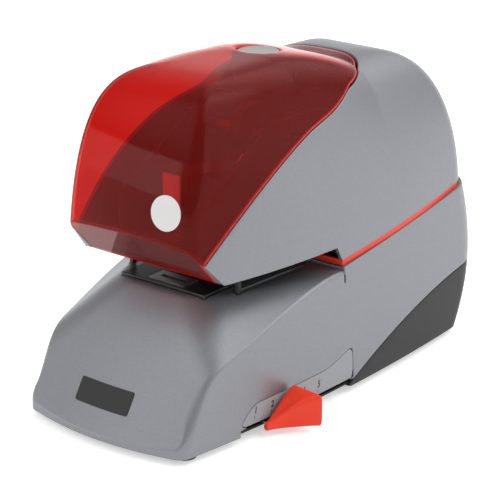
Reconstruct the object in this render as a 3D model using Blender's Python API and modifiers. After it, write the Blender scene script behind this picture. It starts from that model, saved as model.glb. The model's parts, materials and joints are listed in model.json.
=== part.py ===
"""Electric stapler: housings, cover, throat, C-frame, motor drive, staple head, depth stop and power parts.

Metres, +Z up, front towards -Y, the depth knob on +X. Every piece is one object, and a moving piece has its
origin on its joint's axis.
"""

import math

import bmesh
import bpy
from mathutils import Matrix, Vector

# Clearances
WALL = 0.0026  # thickness of the moulded shells
GAP = 0.0004  # between two fixed pieces, and between a pin and its bore
SPLIT = 0.0007  # between the cover and the upper housing
REACH = 0.5  # longer than the object, for cutters
CUTTER_FOOT_Z = -0.02  # below the floor, for cutters that open downwards

# Base: plan at the rim, side profile of the nose, levels
BASE_FRONT_Y = -0.144
BASE_REAR_Y = 0.1646
BASE_HALF_WIDTH = 0.0711
BASE_RIM_Z = 0.0045
BASE_WIDEST_Z = 0.0553
NOSE_BEND = (-0.1109, 0.0564)
NOSE_BEND_RADIUS = 0.100
NOSE_BLEND = 0.0134  # how softly the nose turns into the side slopes
TABLE_Z = 0.080
TABLE_FRONT_Y = -0.0825
SLOPE_TIP = (BASE_HALF_WIDTH - 0.0015, 0.0014)  # where the side slope starts, at table height
SLOPE_EDGE_RUN = 0.399  # run of the table's edge outwards per metre backwards
SLOPE_DROPS = (0.0593, 3.75, -16.1)  # fall at the wall with the distance ahead of the tip, its square and cube

# Throat and the seam between the two housings
THROAT_END_Y = 0.0066
THROAT_SLANT = 0.005  # how far the throat's end leans forward at the ceiling
INSERT_REAR_Y = THROAT_END_Y - 0.003
CEILING_Z = 0.0953
SEAM_FRONT_Z = 0.0838
SEAM_RISE = 0.118
SEAM_HEIGHT = 0.0038
TRIM_SINK = 0.0007  # of the trim behind the housings' faces
TRIM_DEPTH = 0.0038
TRIM_REAR_Y = THROAT_END_Y + 0.0034  # rear of the trim's bar across the throat's end

# Hood: the one form that the cover and the upper housing are cut from
HOOD_FRONT_Y = -0.1155
HOOD_REAR_Y = 0.1534
HOOD_HALF_WIDTH = 0.0665
HOOD_LEVEL_Z = 0.095
HOOD_TOP_Z = 0.2063
SPINE_FRONT_Y = -0.0100
SPINE_REAR_Y = 0.0604
ROOF_CURVE = 2.76  # fall of the roof line per square metre behind the spine's front
LIP_EDGE = (-0.112, 0.119)  # where the cover's front turns in under itself
LIP_FOOT = (-0.090, 0.0954)
LIP_HALF = 0.048  # half width of the lip, which belongs to the cover
LIP_REAR_Y = -0.075
LIP_TOP_Z = 0.125
COVER_END = (0.082, HOOD_TOP_Z - 0.0138)  # rear end of the cover on the roof
COVER_END_RISE = 1.0  # slope of the cover's rear edge, flatter than the way it lifts off
COVER_END_HALF, COVER_END_LENGTH = 0.050, 0.0372  # half axes of the rounded end seen from above
COVER_KNEE = (0.060, HOOD_TOP_Z - 0.0198)  # a point of the cover's straight side edge
COVER_EDGE_RISE = 0.26
COVER_EDGE_BEND = 3.6  # extra fall of the side edge in front of the straight stretch
COVER_STRAIGHT = 0.0634

# Frame plates and the drive between them
PLATE_X = 0.030
PLATE_THICK = 0.0025
PLATE_REAR_Y = 0.064  # rear edge of the plates' upright
PLATE_BOTTOM_Z = 0.016
PLATE_TOP_Z = 0.170
CAM_Y, CAM_Z = 0.0, 0.155
DRIVE_SLOPE = math.radians(-20)  # line through cam, idler and motor
MODULE = 0.001
CAM_TEETH, IDLER_SMALL_TEETH, IDLER_LARGE_TEETH, PINION_TEETH = 44, 11, 48, 12
GEAR_WIDTH = 0.004
GEAR_PLAY = 0.001  # between gears side by side, and between gear and plate
PIN_END = 0.0015  # how far pins and shafts stand out of the plates
ROLLER_RADIUS = 0.007
ROLLER_Y, ROLLER_Z = 0.0, 0.134
ARM_Y, ARM_Z = 0.034, 0.114  # pivot of the driver arm
ARM_SWING = math.radians(9)
CAM_SWING = math.radians(150)
PIN_RADIUS = 0.004
AXLE_RADIUS = 0.003
ROLLER_PIN = 0.0022
ROLLER_HALF = 0.005
CAM_HALF_WIDTH = 0.004
CAM_FALL = (190, 320)  # degrees of the cam between its high and its low rest
ARM_HALF = 0.010
MOTOR_RADIUS = 0.018
MOTOR_LENGTH = 0.033  # between the arms of the cover's hinge
MOTOR_BOSS_RADIUS = 0.005
TIE_ROD_RADIUS = 0.005
PLATE_OUTER = PLATE_X + PLATE_THICK / 2
FIRST_CENTRES = MODULE * (CAM_TEETH + IDLER_SMALL_TEETH) / 2
SECOND_CENTRES = MODULE * (IDLER_LARGE_TEETH + PINION_TEETH) / 2
IDLER_Y = CAM_Y + FIRST_CENTRES * math.cos(DRIVE_SLOPE)
IDLER_Z = CAM_Z + FIRST_CENTRES * math.sin(DRIVE_SLOPE)
MOTOR_Y = IDLER_Y + SECOND_CENTRES * math.cos(DRIVE_SLOPE)
MOTOR_Z = IDLER_Z + SECOND_CENTRES * math.sin(DRIVE_SLOPE)

# Staple head and anvil
STAPLE_Y = -0.072
STAPLE_HALF = 0.0064
CASSETTE_HALF = 0.014
CASSETTE_HEIGHT = 0.0138
CASSETTE_REAR_Y = -0.010
STRIP_HEIGHT = 0.0082
BLADE_THICK = 0.001
INSERT_HALF = 0.0322
INSERT_RAISE = 0.0016
INSERT_THICK = 0.0096
ANVIL_HALF = 0.0135
ANVIL_DEPTH = 0.013
ANVIL_LIFT = 0.0035  # over the depth stop's bar
WING_X, WING_LENGTH, WING_THICK, WING_WIDTH = 0.0072, 0.0068, 0.0024, 0.0028
WING_Z = TABLE_Z - 0.0025
WING_REST = math.radians(17)
SENSOR_X, SENSOR_Y = 0.022, -0.046
SENSOR_Z = TABLE_Z - 0.0055
SENSOR_THICK = 0.0016
UNDERPLATE_THICK = 0.0028

# Cover hinge and button
HINGE_Y = 0.104
HINGE_Z = HOOD_TOP_Z - 0.0343
HINGE_ARM_X = 0.020
HINGE_ARM_THICK = 0.005
EYE_WALL = 0.003  # round the bore of a hinge arm, an ear or the driver arm
NECK_DIP = 0.019  # the arms dip under the housing's edge, which they pass when the cover opens
NECK_THICK = 0.007
NECK_REACH = 0.0438
NECK_WIDTH = 0.006
BUTTON_Y = 0.0075
BUTTON_RADIUS = 0.0132
BUTTON_SINK = 0.0014
BUTTON_THICK = 0.006
STEM_RADIUS = 0.004
STEM_LENGTH = 0.012
CUP_WALL = 0.002
CUP_FLOOR = 0.0015

# Depth stop
SLOT_FRONT_Y, SLOT_REAR_Y = -0.090, 0.014
SLOT_TOP_Z = 0.0084
SLOT_PLAY = 0.0007  # beside the paper stops
SCALE_TOP_Z = 0.0228
SCALE_SINK = 0.0002
SCALE_THICK = 0.0008
KNOB_FRONT_Y, KNOB_REAR_Y = -0.085, -0.0477
KNOB_REACH = 0.0235
STOP_X = 0.041
STOP_Y = -0.062
STOP_WIDTH, STOP_DEPTH = 0.0024, 0.003
DEPTH_TRAVEL = 0.057
SLIDE_TILT = 0.053  # the knob follows the bowed wall: run outwards per run backwards
KNOB_INNER_X = BASE_HALF_WIDTH - 0.0006
KNOB_BOTTOM_Z = 0.004
KNOB_TIP = 0.0035  # width of the knob's thin front end
KNOB_HEIGHT = 0.0203
CARRIAGE_X = 0.0545
CARRIAGE_THICK = 0.002
CARRIAGE_DEPTH = 0.016
BAR_Z = (TABLE_Z - 0.0225, TABLE_Z - 0.0195)

# Power inlet, switch and feet; inlet and switch as x, z, half width, half height
FLOOR_THICK = 0.0015
FLOOR_RAISE = 0.0003  # of the floor's underside over the rim
FOOT_RADIUS = 0.0075
FOOT_X = BASE_HALF_WIDTH - 0.0208
FOOT_FRONT_Y, FOOT_REAR_Y = BASE_FRONT_Y + 0.022, BASE_REAR_Y - 0.044
SCREW_X = FOOT_X - 0.014
SCREW_RADIUS, SCREW_LENGTH = 0.003, 0.008
INLET = (0.026, 0.029, 0.0150, 0.0120)
INLET_WALL = 0.003
INLET_EDGE = 0.0008
INLET_DEPTH = 0.0215
INLET_RECESS = 0.0135
INLET_PIN = 0.004
INLET_PITCH = 0.007
PIN_LENGTH = 0.005
SWITCH = (-0.026, 0.029, 0.0110, 0.0080)
SWITCH_WALL = 0.0018
SWITCH_DEPTH = 0.0185
ROCKER_DEPTH = 0.0095
ROCKER_SINK = 0.0012
ROCKER_RISE = 0.0021
REAR_FACE_Y = BASE_REAR_Y - 0.0086
CORE_WIDTH, CORE_DEPTH, CORE_HEIGHT = 0.060, 0.034, 0.044
CORE_LIMB = 0.014
CORE_YOKE = 0.010
CORE_Y = 0.095
BOARD_Z = 0.062
BOARD_Y = (0.070, 0.134)
BOARD_HALF = 0.046
BOARD_THICK = 0.0016
BOARD_BLOCKS = (  # x, y, width, depth, height of what stands on the board
    (-0.030, 0.085, 0.018, 0.014, 0.014),
    (0.0, 0.115, 0.026, 0.018, 0.010),
    (0.032, 0.085, 0.010, 0.030, 0.012),
    (0.034, 0.120, 0.012, 0.012, 0.016),
)
COIL_BULGE = 0.006  # how far the winding stands out of the core

PALETTE = {
    "silver_paint": ((0.33, 0.34, 0.37, 1), 0.38, 0.55),
    "dark_plastic": ((0.06, 0.06, 0.065, 1), 0.5, 0.0),
    "black_plastic": ((0.012, 0.012, 0.012, 1), 0.45, 0.0),
    "orange_plastic": ((0.85, 0.08, 0.01, 1), 0.4, 0.0),
    "red_clear": ((0.45, 0.004, 0.002, 0.6), 0.08, 0.0),
    "steel": ((0.55, 0.55, 0.56, 1), 0.3, 1.0),
    "button_grey": ((0.45, 0.48, 0.47, 1), 0.4, 0.2),
    "white_label": ((0.6, 0.61, 0.63, 1), 0.5, 0.0),
    "brass": ((0.6, 0.42, 0.14, 1), 0.35, 1.0),
    "board_green": ((0.02, 0.12, 0.05, 1), 0.5, 0.0),
    "rubber": ((0.01, 0.01, 0.01, 1), 0.9, 0.0),
    "nylon": ((0.62, 0.6, 0.52, 1), 0.5, 0.0),
}

for old in list(bpy.data.objects):
    bpy.data.objects.remove(old)
stapler = bpy.data.collections.new("electric_stapler")
cutters = bpy.data.collections.new("cutters")
bpy.context.scene.collection.children.link(stapler)
bpy.context.scene.collection.children.link(cutters)


def material(name):
    """The Principled material of this palette entry."""
    found = bpy.data.materials.get(name)
    if found:
        return found
    colour, roughness, metallic = PALETTE[name]
    made = bpy.data.materials.new(name)
    made.use_nodes = True
    shader = made.node_tree.nodes["Principled BSDF"]
    shader.inputs["Base Color"].default_value = colour
    shader.inputs["Alpha"].default_value = colour[3]
    shader.inputs["Roughness"].default_value = roughness
    shader.inputs["Metallic"].default_value = metallic
    return made


# The frame's origin is under the middle of the whole box, knob included
root = bpy.data.objects.new("stapler_frame", None)
stapler.objects.link(root)
KNOB_OUTER_X = BASE_HALF_WIDTH + KNOB_REACH
root.location = (
    (BASE_HALF_WIDTH - KNOB_OUTER_X) / 2,
    -(BASE_FRONT_Y + BASE_REAR_Y) / 2,
    0,
)


def add(name, mesh, paint=None):
    """An object of this mesh: a part if it has a paint, and a cutter if not."""
    made = bpy.data.objects.new(name, mesh)
    made.parent = root
    if paint:
        stapler.objects.link(made)
        mesh.materials.clear()
        mesh.materials.append(material(paint))
    else:
        cutters.objects.link(made)
        made.hide_render = True
        made.display_type = "WIRE"
    return made


def from_bmesh(name, shape, paint=None):
    bmesh.ops.recalc_face_normals(shape, faces=shape.faces)
    mesh = bpy.data.meshes.new(name)
    shape.to_mesh(mesh)
    shape.free()
    return add(name, mesh, paint)


def box(name, x, y, z, paint=None, rounding=0.0):
    """A box between the two values of x, of y and of z."""
    shape = bmesh.new()
    bmesh.ops.create_cube(shape, size=1)
    middle = Vector([(pair[0] + pair[1]) / 2 for pair in (x, y, z)])
    sides = Vector([pair[1] - pair[0] for pair in (x, y, z)])
    bmesh.ops.scale(shape, vec=sides, verts=shape.verts)
    made = from_bmesh(name, shape, paint)
    made.location = middle
    if rounding:
        bevel = made.modifiers.new("rounding", "BEVEL")
        bevel.width = rounding
        bevel.segments = 2
    return made


TURN_TO_AXIS = {
    "X": Matrix.Rotation(math.radians(90), 4, "Y"),
    "Y": Matrix.Rotation(math.radians(-90), 4, "X"),
    "Z": Matrix.Identity(4),
}


def rod(name, axis, middle, radius, length, paint=None, sides=24):
    """A cylinder along an axis, about its middle point."""
    shape = bmesh.new()
    bmesh.ops.create_cone(
        shape, cap_ends=True, segments=sides, radius1=radius, radius2=radius, depth=length
    )
    bmesh.ops.transform(shape, matrix=TURN_TO_AXIS[axis], verts=shape.verts)
    made = from_bmesh(name, shape, paint)
    made.location = middle
    return made


def rounded(corners, steps=5):
    """The outline through (a, b, radius) corners, with an arc of that radius at each."""
    outline = []
    for index, (a, b, radius) in enumerate(corners):
        here = Vector((a, b))
        if not radius:
            outline.append(here)
            continue
        back = (Vector(corners[index - 1][:2]) - here).normalized()
        ahead = (Vector(corners[(index + 1) % len(corners)][:2]) - here).normalized()
        half = back.angle(ahead) / 2
        middle = here + (back + ahead).normalized() * radius / math.sin(half)
        start = here + back * radius / math.tan(half) - middle
        sweep = start.angle_signed(here + ahead * radius / math.tan(half) - middle)
        for step in range(steps + 1):
            turned = start.copy()
            turned.rotate(Matrix.Rotation(-sweep * step / steps, 2))
            outline.append(middle + turned)
    return outline


def plate(name, outline, low, high, paint=None, plane="YZ"):
    """A flat outline given thickness, as a mesh: (y, z) points thickened along X, or (x, y) along Z."""
    flat = bpy.data.curves.new(name, "CURVE")
    flat.dimensions = "2D"
    flat.fill_mode = "BOTH"
    flat.extrude = (high - low) / 2
    spline = flat.splines.new("POLY")
    spline.points.add(len(outline) - 1)
    for point, place in zip(spline.points, outline):
        point.co = (place[0], place[1], 0, 1)
    spline.use_cyclic_u = True
    guide = bpy.data.objects.new(name + "_outline", flat)
    bpy.context.scene.collection.objects.link(guide)
    graph = bpy.context.evaluated_depsgraph_get()
    mesh = bpy.data.meshes.new_from_object(guide.evaluated_get(graph))
    bpy.data.objects.remove(guide)
    shape = bmesh.new()
    shape.from_mesh(mesh)
    bmesh.ops.remove_doubles(shape, verts=shape.verts, dist=1e-6)
    middle = (low + high) / 2
    turn = Matrix(((0, 0, 1, middle), (1, 0, 0, 0), (0, 1, 0, 0), (0, 0, 0, 1)))
    if plane == "XY":
        turn = Matrix.Translation((0, 0, middle))
    bmesh.ops.transform(shape, matrix=turn, verts=shape.verts)
    return from_bmesh(name, shape, paint)


def combine(part, operation, others, solver):
    for other in others:
        modifier = part.modifiers.new(operation.lower() + "_" + other.name, "BOOLEAN")
        modifier.operation = operation
        modifier.solver = solver
        modifier.object = other


def cut(part, *others, solver="EXACT"):
    combine(part, "DIFFERENCE", others, solver)


def keep(part, *others, solver="EXACT"):
    combine(part, "INTERSECT", others, solver)


def join(part, *others, solver="EXACT"):
    combine(part, "UNION", others, solver)


def set_origin(part, x, y, z):
    """Moves the part's origin, and not its shape, to a point of its joint's axis."""
    shift = Vector((x, y, z)) - part.location
    part.data.transform(Matrix.Translation(-shift))
    part.location = (x, y, z)


def both_sides(half):
    """A closed ring of points from the right half of it, which starts and ends on the middle line."""
    return half + [(-x, y) for x, y in reversed(half[1:-1])]


def inset(outline, depth):
    """A convex ring's points, which run counter-clockwise, moved inwards."""
    moved = []
    for index, (x, y) in enumerate(outline):
        before = Vector(outline[index - 1])
        after = Vector(outline[(index + 1) % len(outline)])
        along = (after - before).normalized()
        moved.append((x - along.y * depth, y + along.x * depth))
    return moved


def corner_arc(middle, radius, start, end, steps):
    """Points of an arc, with its angles in degrees."""
    points = []
    for step in range(steps + 1):
        angle = math.radians(start + (end - start) * step / steps)
        points.append((middle[0] + radius * math.cos(angle), middle[1] + radius * math.sin(angle)))
    return points


def side_width(plan, y):
    """Half width of a shell's swelling side at a distance from the front."""
    half_width, widest = plan["half_width"], plan["widest_y"]
    if y < widest:
        return half_width - plan["front_drop"] * ((widest - y) / plan["front_run"]) ** plan["front_power"]
    return half_width - plan["rear_drop"] * ((y - widest) / plan["rear_run"]) ** 2


def shell_outline(plan):
    """The ring of a shell seen from above: bowed front, front corners, swelling sides, rear corners."""
    radius, rear_radius = plan["front_radius"], plan["rear_radius"]
    front_y = plan["front"] + plan["bow"]
    front_end, rear_start = front_y + radius, plan["rear"] - rear_radius
    across = side_width(plan, front_end) - radius
    half = []
    for step in range(FRONT_STEPS):
        x = across * step / FRONT_STEPS
        half.append((x, plan["front"] + plan["bow"] * (x / across) ** 2))
    start, end = -90 + plan["bow_angle"], -plan["side_angle"]
    half += corner_arc((across, front_end), radius, start, end, CORNER_STEPS)
    for step in range(1, SIDE_STEPS):
        y = front_end + (rear_start - front_end) * step / SIDE_STEPS
        half.append((side_width(plan, y), y))
    middle = (side_width(plan, rear_start) - rear_radius, rear_start)
    half += corner_arc(middle, rear_radius, 3, 87, CORNER_STEPS)
    half.append((0.0, plan["rear"]))
    return both_sides(half)


FRONT_STEPS, CORNER_STEPS, SIDE_STEPS = 5, 5, 14
HOOD_PLAN = {
    "half_width": HOOD_HALF_WIDTH, "widest_y": 0.045, "front": HOOD_FRONT_Y, "bow": 0.0024,
    "front_drop": 0.004, "front_run": 0.085, "front_power": 2.54, "rear_drop": 0.0018, "rear_run": 0.05,
    "front_radius": 0.009, "rear_radius": 0.0206, "rear": HOOD_REAR_Y, "bow_angle": 4, "side_angle": 8,
}
BASE_PLAN = {
    "half_width": BASE_HALF_WIDTH, "widest_y": 0.011, "front": BASE_FRONT_Y, "bow": 0.0069,
    "front_drop": 0.0074, "front_run": 0.119, "front_power": 2.0, "rear_drop": 0.0023, "rear_run": 0.094,
    "front_radius": 0.009, "rear_radius": 0.0244, "rear": BASE_REAR_Y, "bow_angle": 10, "side_angle": 6,
}


def loft(name, rings, paint=None):
    """A closed solid through rings of equally many points, closed flat at the first and last."""
    shape = bmesh.new()
    levels = [[shape.verts.new(point) for point in ring] for ring in rings]
    count = len(rings[0])
    for lower, upper in zip(levels, levels[1:]):
        for index in range(count):
            after = (index + 1) % count
            shape.faces.new((lower[index], lower[after], upper[after], upper[index]))
    shape.faces.new(list(reversed(levels[0])))
    shape.faces.new(levels[-1])
    bmesh.ops.remove_doubles(shape, verts=shape.verts, dist=1e-5)
    bmesh.ops.dissolve_degenerate(shape, edges=shape.edges, dist=1e-5)
    return from_bmesh(name, shape, paint)


def lean(value, low, high):
    return min(1.0, max(0.0, (value - low) / (high - low)))


HOOD_STEPS = 10
HOOD_CROWDING = 1.7  # draws the rings towards the roof, where the form turns
SIDE_POWERS, FRONT_POWERS, REAR_POWERS = (4.31, 1.49), (6.86, 1.76), (3.89, 1.88)


def hood_point(x, y, angle, drop):
    """The hood's surface over the outline point (x, y): a superellipse from the wall to the roof's spine."""
    spine_y = min(SPINE_REAR_Y, max(SPINE_FRONT_Y, y))
    front = lean(-y, -SPINE_FRONT_Y, -HOOD_FRONT_Y)
    rear = lean(y, SPINE_REAR_Y, HOOD_REAR_Y)
    inwards, upwards = (
        side + (ahead - side) * front + (behind - side) * rear
        for side, ahead, behind in zip(SIDE_POWERS, FRONT_POWERS, REAR_POWERS)
    )
    out = max(0.0, math.cos(angle)) ** (2 / inwards)
    up = math.sin(angle) ** (2 / upwards)
    roof = HOOD_TOP_Z - drop - ROOF_CURVE * (spine_y - SPINE_FRONT_Y) ** 2
    return (x * out, spine_y + (y - spine_y) * out, HOOD_LEVEL_Z + up * (roof - HOOD_LEVEL_Z))


def hood_solid(name, depth, paint=None):
    """The hood's form, moved inwards by a depth, with its front turned in under the lip."""
    outline = inset(shell_outline(HOOD_PLAN), depth)
    rings = [[(x, y, TABLE_Z - depth) for x, y in outline]]
    for step in range(HOOD_STEPS):
        angle = math.pi / 2 * (1 - (1 - step / HOOD_STEPS) ** HOOD_CROWDING)
        rings.append([hood_point(x, y, angle, depth) for x, y in outline])
    rings.append([hood_point(x, y, math.pi / 2, depth) for x, y in outline])
    made = loft(name, rings, paint)
    along = (Vector(LIP_FOOT) - Vector(LIP_EDGE)).normalized()
    inwards = Vector((-along.y, along.x)) * depth
    edge, foot = Vector(LIP_EDGE) + inwards - along * 0.1, Vector(LIP_FOOT) + inwards + along * 0.1
    below = foot + Vector((along.y, -along.x)) * 0.3
    ahead = edge + Vector((along.y, -along.x)) * 0.3
    cut(made, plate(name + "_lip", [edge, foot, below, ahead], -REACH / 2, REACH / 2))
    return made


def nose_height(y):
    """Height of the nose and deck line over a distance from the front: a steep face, a bend and a slope."""
    steep = (NOSE_BEND[1] - BASE_RIM_Z) / (NOSE_BEND[0] - BASE_FRONT_Y)
    gentle = (TABLE_Z - NOSE_BEND[1]) / (TABLE_FRONT_Y - NOSE_BEND[0])
    turn = (math.atan(steep) - math.atan(gentle)) / 2
    tangent = NOSE_BEND_RADIUS * math.tan(turn)
    start = NOSE_BEND[0] - tangent * math.cos(math.atan(steep))
    end = NOSE_BEND[0] + tangent * math.cos(math.atan(gentle))
    if y <= start:
        return NOSE_BEND[1] + steep * (y - NOSE_BEND[0])
    if y >= end:
        return NOSE_BEND[1] + gentle * (y - NOSE_BEND[0])
    middle_y = start + NOSE_BEND_RADIUS * math.sin(math.atan(steep))
    middle_z = NOSE_BEND[1] + steep * (start - NOSE_BEND[0]) - NOSE_BEND_RADIUS * math.cos(math.atan(steep))
    return middle_z + math.sqrt(NOSE_BEND_RADIUS**2 - (y - middle_y) ** 2)


def soft_lower(first, second, blend):
    """The lower of two heights, rounded off where they are nearly equal."""
    share = max(0.0, blend - abs(first - second)) / blend
    return min(first, second) - share * share * blend / 4


def slope_height(x, y):
    """Height of a side slope: at the table's edge level with it, and falling to the wall, more so in front."""
    ahead = max(0.0, SLOPE_TIP[1] - y)
    edge = SLOPE_TIP[0] - SLOPE_EDGE_RUN * ahead
    drop = sum(share * ahead ** (power + 1) for power, share in enumerate(SLOPE_DROPS))
    return TABLE_Z - drop * (abs(x) - edge) / max(0.001, side_width(BASE_PLAN, y) - edge)


def top_height(x, y, drop):
    """Height of the base's top surface: nose, side slopes and table, or far up behind the throat."""
    if y > THROAT_END_Y + drop:
        return HOOD_LEVEL_Z + 0.02 + drop
    bow = BASE_PLAN["bow"] * (abs(x) / 0.055) ** 2
    nose = nose_height(y - bow * lean(-y, -TABLE_FRONT_Y, -BASE_FRONT_Y)) + NOSE_RIM
    return min(TABLE_Z, soft_lower(nose, slope_height(x, y), NOSE_BLEND)) - drop


NOSE_RIM = 0.003  # upright edge under the nose
WALL_STEPS = 5
TOP_SHARES = (0.97, 0.9, 0.8, 0.65, 0.45, 0.2)
BASE_DRAFT = 0.045
REAR_CURVE_BELOW, REAR_CURVE_ABOVE = 7.0, 4.3
BASE_STRETCH_Y = 0.04


def base_point(x, y, z):
    """Leans the base's upright walls: sides drawn in towards the top, rear swelling at its widest level."""
    curve = REAR_CURVE_ABOVE if z > BASE_WIDEST_Z else REAR_CURVE_BELOW
    rear = BASE_REAR_Y - curve * (z - BASE_WIDEST_Z) ** 2
    if y > BASE_STRETCH_Y:
        y = BASE_STRETCH_Y + (y - BASE_STRETCH_Y) * (rear - BASE_STRETCH_Y) / (BASE_REAR_Y - BASE_STRETCH_Y)
    return (x * (1 - BASE_DRAFT * (z - BASE_RIM_Z) / BASE_HALF_WIDTH), y, z)


def base_solid(name, depth, bottom, paint=None):
    """The base's form, moved inwards by a depth: cross-sections from the front to the rear."""
    outline = inset(shell_outline(BASE_PLAN), depth)
    half = outline[: len(outline) // 2 + 1]
    step_y = THROAT_END_Y + depth
    stations = []
    for (x, y), (next_x, next_y) in zip(half, half[1:] + half[-1:]):
        stations.append((max(x, 2e-4), y))
        if y < step_y < next_y:
            x_there = x + (next_x - x) * (step_y - y) / (next_y - y)
            stations += [(x_there, step_y - 1e-5), (x_there, step_y + 1e-4)]
    sections = []
    for x, y in stations:
        wall_top = max(bottom + 1e-3, top_height(x, y, depth))
        side = [(x, bottom + (wall_top - bottom) * step / WALL_STEPS) for step in range(WALL_STEPS + 1)]
        top = [(x * share, max(bottom + 1e-3, top_height(x * share, y, depth))) for share in TOP_SHARES]
        right = side + top
        ring = right + [(-x_there, z) for x_there, z in reversed(right)]
        sections.append([base_point(x_there, y, z) for x_there, z in ring])
    return loft(name, sections, paint)


def seam_height(y):
    return SEAM_FRONT_Z + SEAM_RISE * (y - THROAT_END_Y)


def side_wedge(name, rise, above):
    """Everything above, or below, the seam raised by a height, behind the throat's end."""
    far = REACH if above else -REACH
    ends = (THROAT_END_Y - 0.02, BASE_REAR_Y + 0.05)
    outline = [(y, seam_height(y) + rise) for y in ends] + [(y, far) for y in reversed(ends)]
    return plate(name, outline, -REACH / 2, REACH / 2)


def cover_edge(rise):
    """The cover's side edge: a curve up from the lip and a straight stretch to the roof, open above."""
    knee = (COVER_KNEE[0], COVER_KNEE[1] + rise)
    points = []
    for step in range(15):
        back = 0.180 - 0.220 * step / 14
        bent = max(0.0, back - COVER_STRAIGHT)
        points.append((knee[0] - back, knee[1] - COVER_EDGE_RISE * back - COVER_EDGE_BEND * bent**2))
    above = HOOD_TOP_Z + 0.045
    return points + [(points[-1][0], above), (-0.2, above), (-0.2, points[0][1])]


def cover_end(name, rise):
    """Everything ahead of the cover's rear edge, which is round seen from above and slants back upwards."""
    half, length = COVER_END_HALF - rise, COVER_END_LENGTH - rise * math.sqrt(2)
    middle = COVER_END[0] - COVER_END_LENGTH
    wide = HOOD_HALF_WIDTH + 0.02
    shoulder = middle - (wide - half)
    outline = [(-wide, shoulder), (-wide, -REACH), (wide, -REACH), (wide, shoulder)]
    for step in range(17):
        angle = math.pi * step / 16
        outline.append((half * math.cos(angle), middle + length * math.sin(angle)))
    made = plate(name, outline, 0, HOOD_TOP_Z + 0.06, plane="XY")
    slant = 1 / COVER_END_RISE
    made.data.transform(
        Matrix(((1, 0, 0, 0), (0, 1, slant, -slant * COVER_END[1]), (0, 0, 1, 0), (0, 0, 0, 1)))
    )
    return made


TRAY_START_Y, TRAY_LEVEL_Y, TRAY_LEVEL_Z = 0.0063, 0.180, 0.0463


def tray_region(name, rise):
    """The dark rear quarter of the base: below a parabola that flattens out towards the rear."""
    height = TRAY_LEVEL_Z - BASE_RIM_Z
    curve = []
    for step in range(15):
        y = TRAY_START_Y - 0.004 + (TRAY_LEVEL_Y - TRAY_START_Y + 0.004) * step / 14
        share = (TRAY_LEVEL_Y - y) / (TRAY_LEVEL_Y - TRAY_START_Y)
        curve.append((y - rise, BASE_RIM_Z + height * (1 - share**2) + rise))
    outline = curve + [(REACH / 2, TRAY_LEVEL_Z + rise), (REACH / 2, -0.05), (curve[0][0], -0.05)]
    return plate(name, outline, -REACH / 2, REACH / 2)


def hood_parts():
    """The red cover, the upper housing behind and below it, and the trim in the seam."""
    inner = hood_solid("hood_inner", WALL)
    lip_box = ((-LIP_HALF, LIP_HALF), (-REACH, LIP_REAR_Y), (0, LIP_TOP_Z))
    cover = hood_solid("front_cover", 0, "red_clear")
    region = plate("cover_region", cover_edge(SPLIT / 2), -REACH / 2, REACH / 2)
    keep(region, cover_end("cover_end", SPLIT / 2))
    join(region, box("cover_lip", *lip_box))
    below_ceiling = box("below_ceiling", (-REACH, REACH), (-REACH, REACH), (-REACH, CEILING_Z))
    cut(cover, inner, below_ceiling)
    keep(cover, region)
    hole = rod("button_hole", "Z", (0, BUTTON_Y, HOOD_TOP_Z), BUTTON_RADIUS + GAP, 0.04, sides=32)
    cut(cover, hole)
    set_origin(cover, 0, HINGE_Y, HINGE_Z)

    housing = hood_solid("upper_housing", 0, "silver_paint")
    wide_lip = [(low - SPLIT, high + SPLIT) for low, high in lip_box]
    taken = plate("cover_room", cover_edge(-SPLIT / 2), -REACH / 2, REACH / 2)
    keep(taken, cover_end("cover_end_room", -SPLIT / 2))
    join(taken, box("cover_lip_room", *wide_lip))
    throat = plate(
        "throat_room",
        [(-REACH, 0), (-REACH, CEILING_Z), (THROAT_END_Y - THROAT_SLANT, CEILING_Z),
         (THROAT_END_Y, seam_height(THROAT_END_Y)), (THROAT_END_Y, 0)],
        -REACH / 2, REACH / 2,
    )
    cut(housing, inner, taken, throat, side_wedge("under_seam", SEAM_HEIGHT / 2 + GAP, False))

    trim = hood_solid("seam_trim", TRIM_SINK, "orange_plastic")
    trim_inner = hood_solid("trim_inner", TRIM_SINK + TRIM_DEPTH)
    ahead = box("trim_front", (-REACH, REACH), (-REACH, THROAT_END_Y + GAP), (-REACH, REACH))
    room = box("trim_room", (-REACH, REACH), (TRIM_REAR_Y, REACH), (-REACH, REACH))
    keep(trim_inner, room)
    cut(trim, trim_inner, ahead)
    for name, side in (("over_trim", 1), ("under_trim", -1)):
        cut(trim, side_wedge(name, side * SEAM_HEIGHT / 2, side > 0))


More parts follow.
